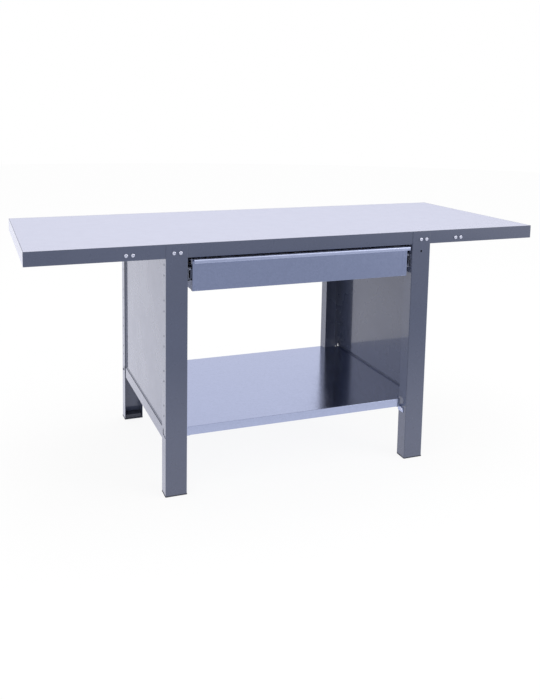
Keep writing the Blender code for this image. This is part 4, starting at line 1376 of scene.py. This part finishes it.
def bolt_shape(name, head, height, shank, length, socket):
    """A domed bolt along Z whose head rests on Z = 0."""
    turns = [step * math.pi / 2 / DOME_STEPS for step in range(DOME_STEPS + 1)]
    dome = [(head * (CROWN_SHARE + (1 - CROWN_SHARE) * math.cos(turn)),
             height * (RIM_SHARE + (1 - RIM_SHARE) * math.sin(turn)), 0) for turn in turns]
    rings = [(0, height * 0.32, 0), (0, height * 0.42, socket), (0, height * 0.97, socket * 0.98),
             (0, height, socket * 1.06)]
    rings += dome[::-1] + [(head, height * 0.08, 0), (head * 0.96, 0, 0), (shank, 0, 0),
                          (shank, -length + shank / 3, 0), (shank * 0.7, -length, 0), (0, -length, 0)]
    return new_piece(name, turned_mesh(name, rings), bolt_zinc)


print("one bolt has", BOLT_SIDES, "sides")

# %% [markdown]
# The tree reads each seat's direction from its own attribute, turns a copy of the shape to it, and joins
# all copies into one mesh.

# %% Tree that sets fasteners on their seats
set_fasteners, given, put = new_tree("set_fasteners", [
    ("Geometry", GEOMETRY, None), ("Fastener", "NodeSocketObject", None), ("Material", MATERIAL, None),
])
facing = add_node(set_fasteners, "GeometryNodeInputNamedAttribute", {"data_type": "FLOAT_VECTOR"},
                  {"Name": "facing"})
turned = add_node(set_fasteners, "FunctionNodeAlignRotationToVector", {"axis": "Z"},
                  links={"Vector": facing.outputs["Attribute"]})
shape = add_node(set_fasteners, "GeometryNodeObjectInfo", links={"Object": given["Fastener"]})
copies = add_node(set_fasteners, "GeometryNodeInstanceOnPoints",
                  links={"Points": given["Geometry"], "Instance": shape.outputs["Geometry"],
                         "Rotation": turned})
end_tree(set_fasteners, copies, given["Material"], put)


def fasten(name, shape, seats, body, nodes=()):
    """One mesh of fasteners. seats lists each seat's place and the way its head faces."""
    mesh = bpy.data.meshes.new(name)
    mesh.from_pydata([tuple(place) for place, _ in seats], [], [])
    attribute = mesh.attributes.new("facing", "FLOAT_VECTOR", "POINT")
    attribute.data.foreach_set("vector", [value for _, facing in seats for value in facing])
    made = new_piece(name, mesh, None)
    grow(made, set_fasteners, {"Fastener": shape, "Material": shape.data.materials[0]})
    hand_over(settle(made), body, nodes)
    print(name, len(seats), "pieces,", len(made.data.polygons), "faces")
    bpy.data.objects.remove(shape)


# %% Frame bolts and shelf bolts
FRAME_HEAD_HEIGHT = 0.0045
SHELF_HEAD_HEIGHT = 0.0035
frame_bolts, frame_seats = [], []
for end, way in ENDS.items():
    for side, label, letter in itertools.product(SIDES, ("leg", "overhang"), "ab"):
        node = f"{end}_{side}_{label}_bolt_{letter}"
        seat = middle_of(node)
        seat.y = near_far(node, 1)[1] - way * FRAME_HEAD_HEIGHT
        frame_bolts.append(node)
        frame_seats.append((seat, (0, way, 0)))
shelf_bolts, shelf_seats = [], []
for side, end in CORNERS:
    node, sign = f"{end}_{side}_shelf_bolt", SIDES[side]
    seat = middle_of(node)
    seat.x = near_far(node, 0)[0] + sign * SHELF_HEAD_HEIGHT
    shelf_bolts.append(node)
    shelf_seats.append((seat, (-sign, 0, 0)))
frame_bolt = bolt_shape("bolt", head=0.0065, height=FRAME_HEAD_HEIGHT, shank=0.004, length=0.018,
                        socket=0.0025)
fasten("frame_bolts", frame_bolt, frame_seats, "frame", frame_bolts)
shelf_bolt = bolt_shape("bolt", head=0.005, height=SHELF_HEAD_HEIGHT, shank=0.003, length=0.014,
                        socket=0.002)
fasten("shelf_bolts", shelf_bolt, shelf_seats, "frame", shelf_bolts)

# %% [markdown]
# The nuts are hexagons with a bore, clinched to the inside of the cross members. The slides' screws have
# heads so low that the cages pass over them, and the drawer's screws hold the inner members to its box.

# %% Nuts and screws
NUT_SINK = 0.0021
SCREW_SINK = 0.0001


def nut_shape(name, flats, bore, height):
    rings = [(bore, 0, 0), (0, 0, flats), (0, -height, flats), (bore, -height, 0)]
    return new_piece(name, turned_mesh(name, rings, pierced=True), bolt_zinc)


nut_seats = []
for end, way in ENDS.items():
    for place, step in bolt_pairs(end):
        for offset in (Vector(), step):
            seat = place + offset
            nut_seats.append(((seat.x, MIDDLE_Y + way * (member_end - NUT_SINK), seat.z), (0, way, 0)))
fasten("clinch_nuts", nut_shape("nut", flats=0.0060, bore=0.0042, height=0.006), nut_seats, "frame")

slide_seats, drawer_seats = [], []
for side, sign in SIDES.items():
    outer_web = near_far(f"{side}_slide_outer", 0)[1]
    inner_web = near_far(f"{side}_slide_inner", 0)[0]
    inner_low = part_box(f"{side}_slide_inner")[0]
    for way in ENDS.values():
        place = at(outer_web - sign * (SLIDE_WALLS["outer"] + SCREW_SINK), way * flange_middle, SLIDE_Z)
        slide_seats.append((place, (-sign, 0, 0)))
    for index in (0, 2, 5):
        place = (inner_web + sign * (SLIDE_WALLS["inner"] + SCREW_SINK),
                 inner_low.y + DRAWER_SCREW_START + index * DRAWER_SCREW_PITCH, SLIDE_Z)
        drawer_seats.append((place, (sign, 0, 0)))
slide_screw = bolt_shape("screw", head=0.0038, height=0.0009, shank=0.0023, length=0.006, socket=0.0012)
fasten("slide_screws", slide_screw, slide_seats, "frame")
drawer_screw = bolt_shape("screw", head=0.0038, height=0.0018, shank=0.0023, length=0.0045, socket=0.0013)
fasten("drawer_screws", drawer_screw, drawer_seats, "drawer")

# %% [markdown]
# ## Floor and world
# The bench stands on a plain pale floor in a plain pale room. What the camera sees of both is white, and
# what metal and gloss mirror is the same pale tone, a little cool, with a painted shade on the floor in
# front of the bench that turns paler again at the far right. None of that lights the bench: for all other
# rays the floor is a lit pale board and the room has a plain level, so that each colour renders about as
# it was written. A small share of lit floor is added to the white, which is where the bench's faint shadow
# shows.

# %% Floor
FLOOR_RADIUS = 14.0
FLOOR_DROP = 0.0001
FLOOR_WHITE = 0.88
FLOOR_FAINT = (0.14, 0.14, 0.14, 1.0)
FLOOR_LIT = (0.86, 0.86, 0.87, 1.0)
# Painted shade on the mirrored floor: where it rises from the shaded tone in front to the pale one, and how
# pale it turns again far to the right
FRONT_SHADE = (-1.9, -0.2, 1.0)
RIGHT_SHADE = (2.6, 4.6, 0.8)
WHITE = (1.0, 1.0, 1.0)
COOL_PALE = (0.87, 0.88, 1.0)
COOL_SHADE = (0.24, 0.27, 0.375)
CAMERA_RAY = ("Is Camera Ray",)
SEEN_RAYS = ("Is Camera Ray", "Is Glossy Ray", "Is Transmission Ray")


def path_mask(tree, names):
    """1 where a ray is one of the named kinds, otherwise 0."""
    path = tree.nodes.new("ShaderNodeLightPath")
    mask = path.outputs[names[0]]
    for name in names[1:]:
        mask = add_node(tree, "ShaderNodeMath", {"operation": "MAXIMUM"},
                        links={0: mask, 1: path.outputs[name]})
    return mask


def seen_colour(tree, mirrored=COOL_PALE):
    """White to the camera, and a cool pale tone, or one that is given, to gloss and glass."""
    return mix_colours(tree, path_mask(tree, CAMERA_RAY), mirrored, WHITE)


def rise(tree, along, start, end, most):
    """0 up to one place on the floor and the most beyond the other, with a soft rise between."""
    return add_node(tree, "ShaderNodeMapRange", {"interpolation_type": "SMOOTHSTEP"},
                    {"From Min": start, "From Max": end, "To Max": most}, {"Value": along})


def plain_floor():
    material = bpy.data.materials.new("pale_floor")
    material.use_nodes = True
    tree = material.node_tree
    tree.nodes.clear()
    place = tree.nodes.new("ShaderNodeTexCoord").outputs["Object"]
    split = add_node(tree, "ShaderNodeSeparateXYZ", links={"Vector": place})
    # Painted shade in what gloss mirrors of the floor: the shaded tone in front of the bench, pale near and
    # behind it and again far to the right
    pale = add_node(tree, "ShaderNodeMath", {"operation": "MAXIMUM"},
                    links={0: rise(tree, split.outputs["Y"], *FRONT_SHADE),
                           1: rise(tree, split.outputs["X"], *RIGHT_SHADE)})
    mirrored = mix_colours(tree, pale, COOL_SHADE, COOL_PALE)
    level = add_node(tree, "ShaderNodeMix", {"data_type": "FLOAT"}, {"A": 1.0, "B": FLOOR_WHITE},
                     {"Factor": path_mask(tree, CAMERA_RAY)})
    colour = seen_colour(tree, mirrored)
    white = add_node(tree, "ShaderNodeEmission", links={"Color": colour, "Strength": level})
    faint = add_node(tree, "ShaderNodeBsdfDiffuse", values={"Color": FLOOR_FAINT})
    shown = add_node(tree, "ShaderNodeAddShader", links={0: white, 1: faint})
    lit = add_node(tree, "ShaderNodeBsdfDiffuse", values={"Color": FLOOR_LIT})
    mix = add_node(tree, "ShaderNodeMixShader", links={0: path_mask(tree, SEEN_RAYS), 1: lit, 2: shown})
    feed(tree, tree.nodes.new("ShaderNodeOutputMaterial"), Surface=mix)
    return material


bm = bmesh.new()
bmesh.ops.create_circle(bm, cap_ends=True, segments=64, radius=FLOOR_RADIUS)
for vert in bm.verts:
    vert.co.z = -FLOOR_DROP
floor_mesh = bpy.data.meshes.new("floor")
bm.to_mesh(floor_mesh)
bm.free()
floor = new_piece("floor", floor_mesh, plain_floor())
print("floor radius", FLOOR_RADIUS)

# %% World
AMBIENT = 0.75
world = bpy.data.worlds.new("plain_studio")
bpy.context.scene.world = world
world.use_nodes = True
tree = world.node_tree
tree.nodes.clear()
seen = path_mask(tree, SEEN_RAYS)
level = add_node(tree, "ShaderNodeMapRange", values={"To Min": AMBIENT, "To Max": 1.0}, links={"Value": seen})
colour = mix_colours(tree, seen, WHITE, seen_colour(tree))
sky = add_node(tree, "ShaderNodeBackground", links={"Color": colour, "Strength": level})
feed(tree, tree.nodes.new("ShaderNodeOutputWorld"), Surface=sky)
print("world", world.name)

# %% [markdown]
# ## Lamps
# Large soft boxes, as in a studio: one overhead, a little to the rear, one at the front right, from where the
# long front beam grows lighter towards its right end, and a weak one at the front left that opens the inside
# of the far legs. Their size keeps shadows soft, and their power keeps white things just below white.

# %% Soft boxes


def soft_box(name, place, aim, width, height, power):
    lamp = bpy.data.lights.new(name, "AREA")
    lamp.shape = "RECTANGLE"
    lamp.size = width
    lamp.size_y = height
    lamp.energy = power
    holder = new_object(name, lamp)
    holder.location = place
    holder.rotation_euler = (Vector(aim) - Vector(place)).to_track_quat("-Z", "Y").to_euler()
    print(name, power, "W")


soft_box("overhead_soft_box", place=(-0.3, 0.5, 4.4), aim=(0, 0, 0.8), width=3.4, height=2.6, power=33)
soft_box("front_right_soft_box", place=(3.6, -3.4, 2.4), aim=(0.2, 0, 0.6), width=2.4, height=2.0, power=42)
soft_box("front_left_soft_box", place=(-3.2, -3.8, 1.6), aim=(0.4, 0.3, 0.5), width=2.0, height=1.6, power=24)

# %% [markdown]
# ## Camera
# The photograph was taken from the front left, a little above the worktop, and later set in a taller
# frame, so its optical centre lies above and left of the picture's middle. The camera was found by
# fitting the bench's measured corners. Two small shifts stand for the later framing.

# %% Camera
IMAGE_WIDTH, IMAGE_HEIGHT = 540, 700
FOCAL = 743.93
OPTICAL_CENTRE = (211.57, 195.47)
YAW, PITCH, ROLL = -0.3236, -0.1210, 0.0086
CAMERA_PLACE = (-1.1132, -2.6346, 1.3137)

forward = Vector((-math.sin(YAW) * math.cos(PITCH), math.cos(YAW) * math.cos(PITCH), math.sin(PITCH)))
right = Vector((math.cos(YAW), math.sin(YAW), 0))
up = right.cross(forward)
right, up = (math.cos(ROLL) * right + math.sin(ROLL) * up, -math.sin(ROLL) * right + math.cos(ROLL) * up)
camera = bpy.data.cameras.new("camera")
camera.sensor_fit = "VERTICAL"
camera.sensor_height = 36
camera.lens = FOCAL * camera.sensor_height / IMAGE_HEIGHT
camera.shift_x = (IMAGE_WIDTH / 2 - OPTICAL_CENTRE[0]) / IMAGE_HEIGHT
camera.shift_y = (OPTICAL_CENTRE[1] - IMAGE_HEIGHT / 2) / IMAGE_HEIGHT
holder = new_object("camera", camera)
turn = Matrix((right, up, -forward)).transposed().to_4x4()
holder.matrix_world = Matrix.Translation(CAMERA_PLACE) @ turn
bpy.context.scene.camera = holder
bpy.context.scene.view_settings.view_transform = "Standard"
print("lens", round(camera.lens, 2), "mm")

# %% Finish
print("pieces", len(made_pieces), "faces", sum(len(piece.data.polygons) for piece in made_pieces))
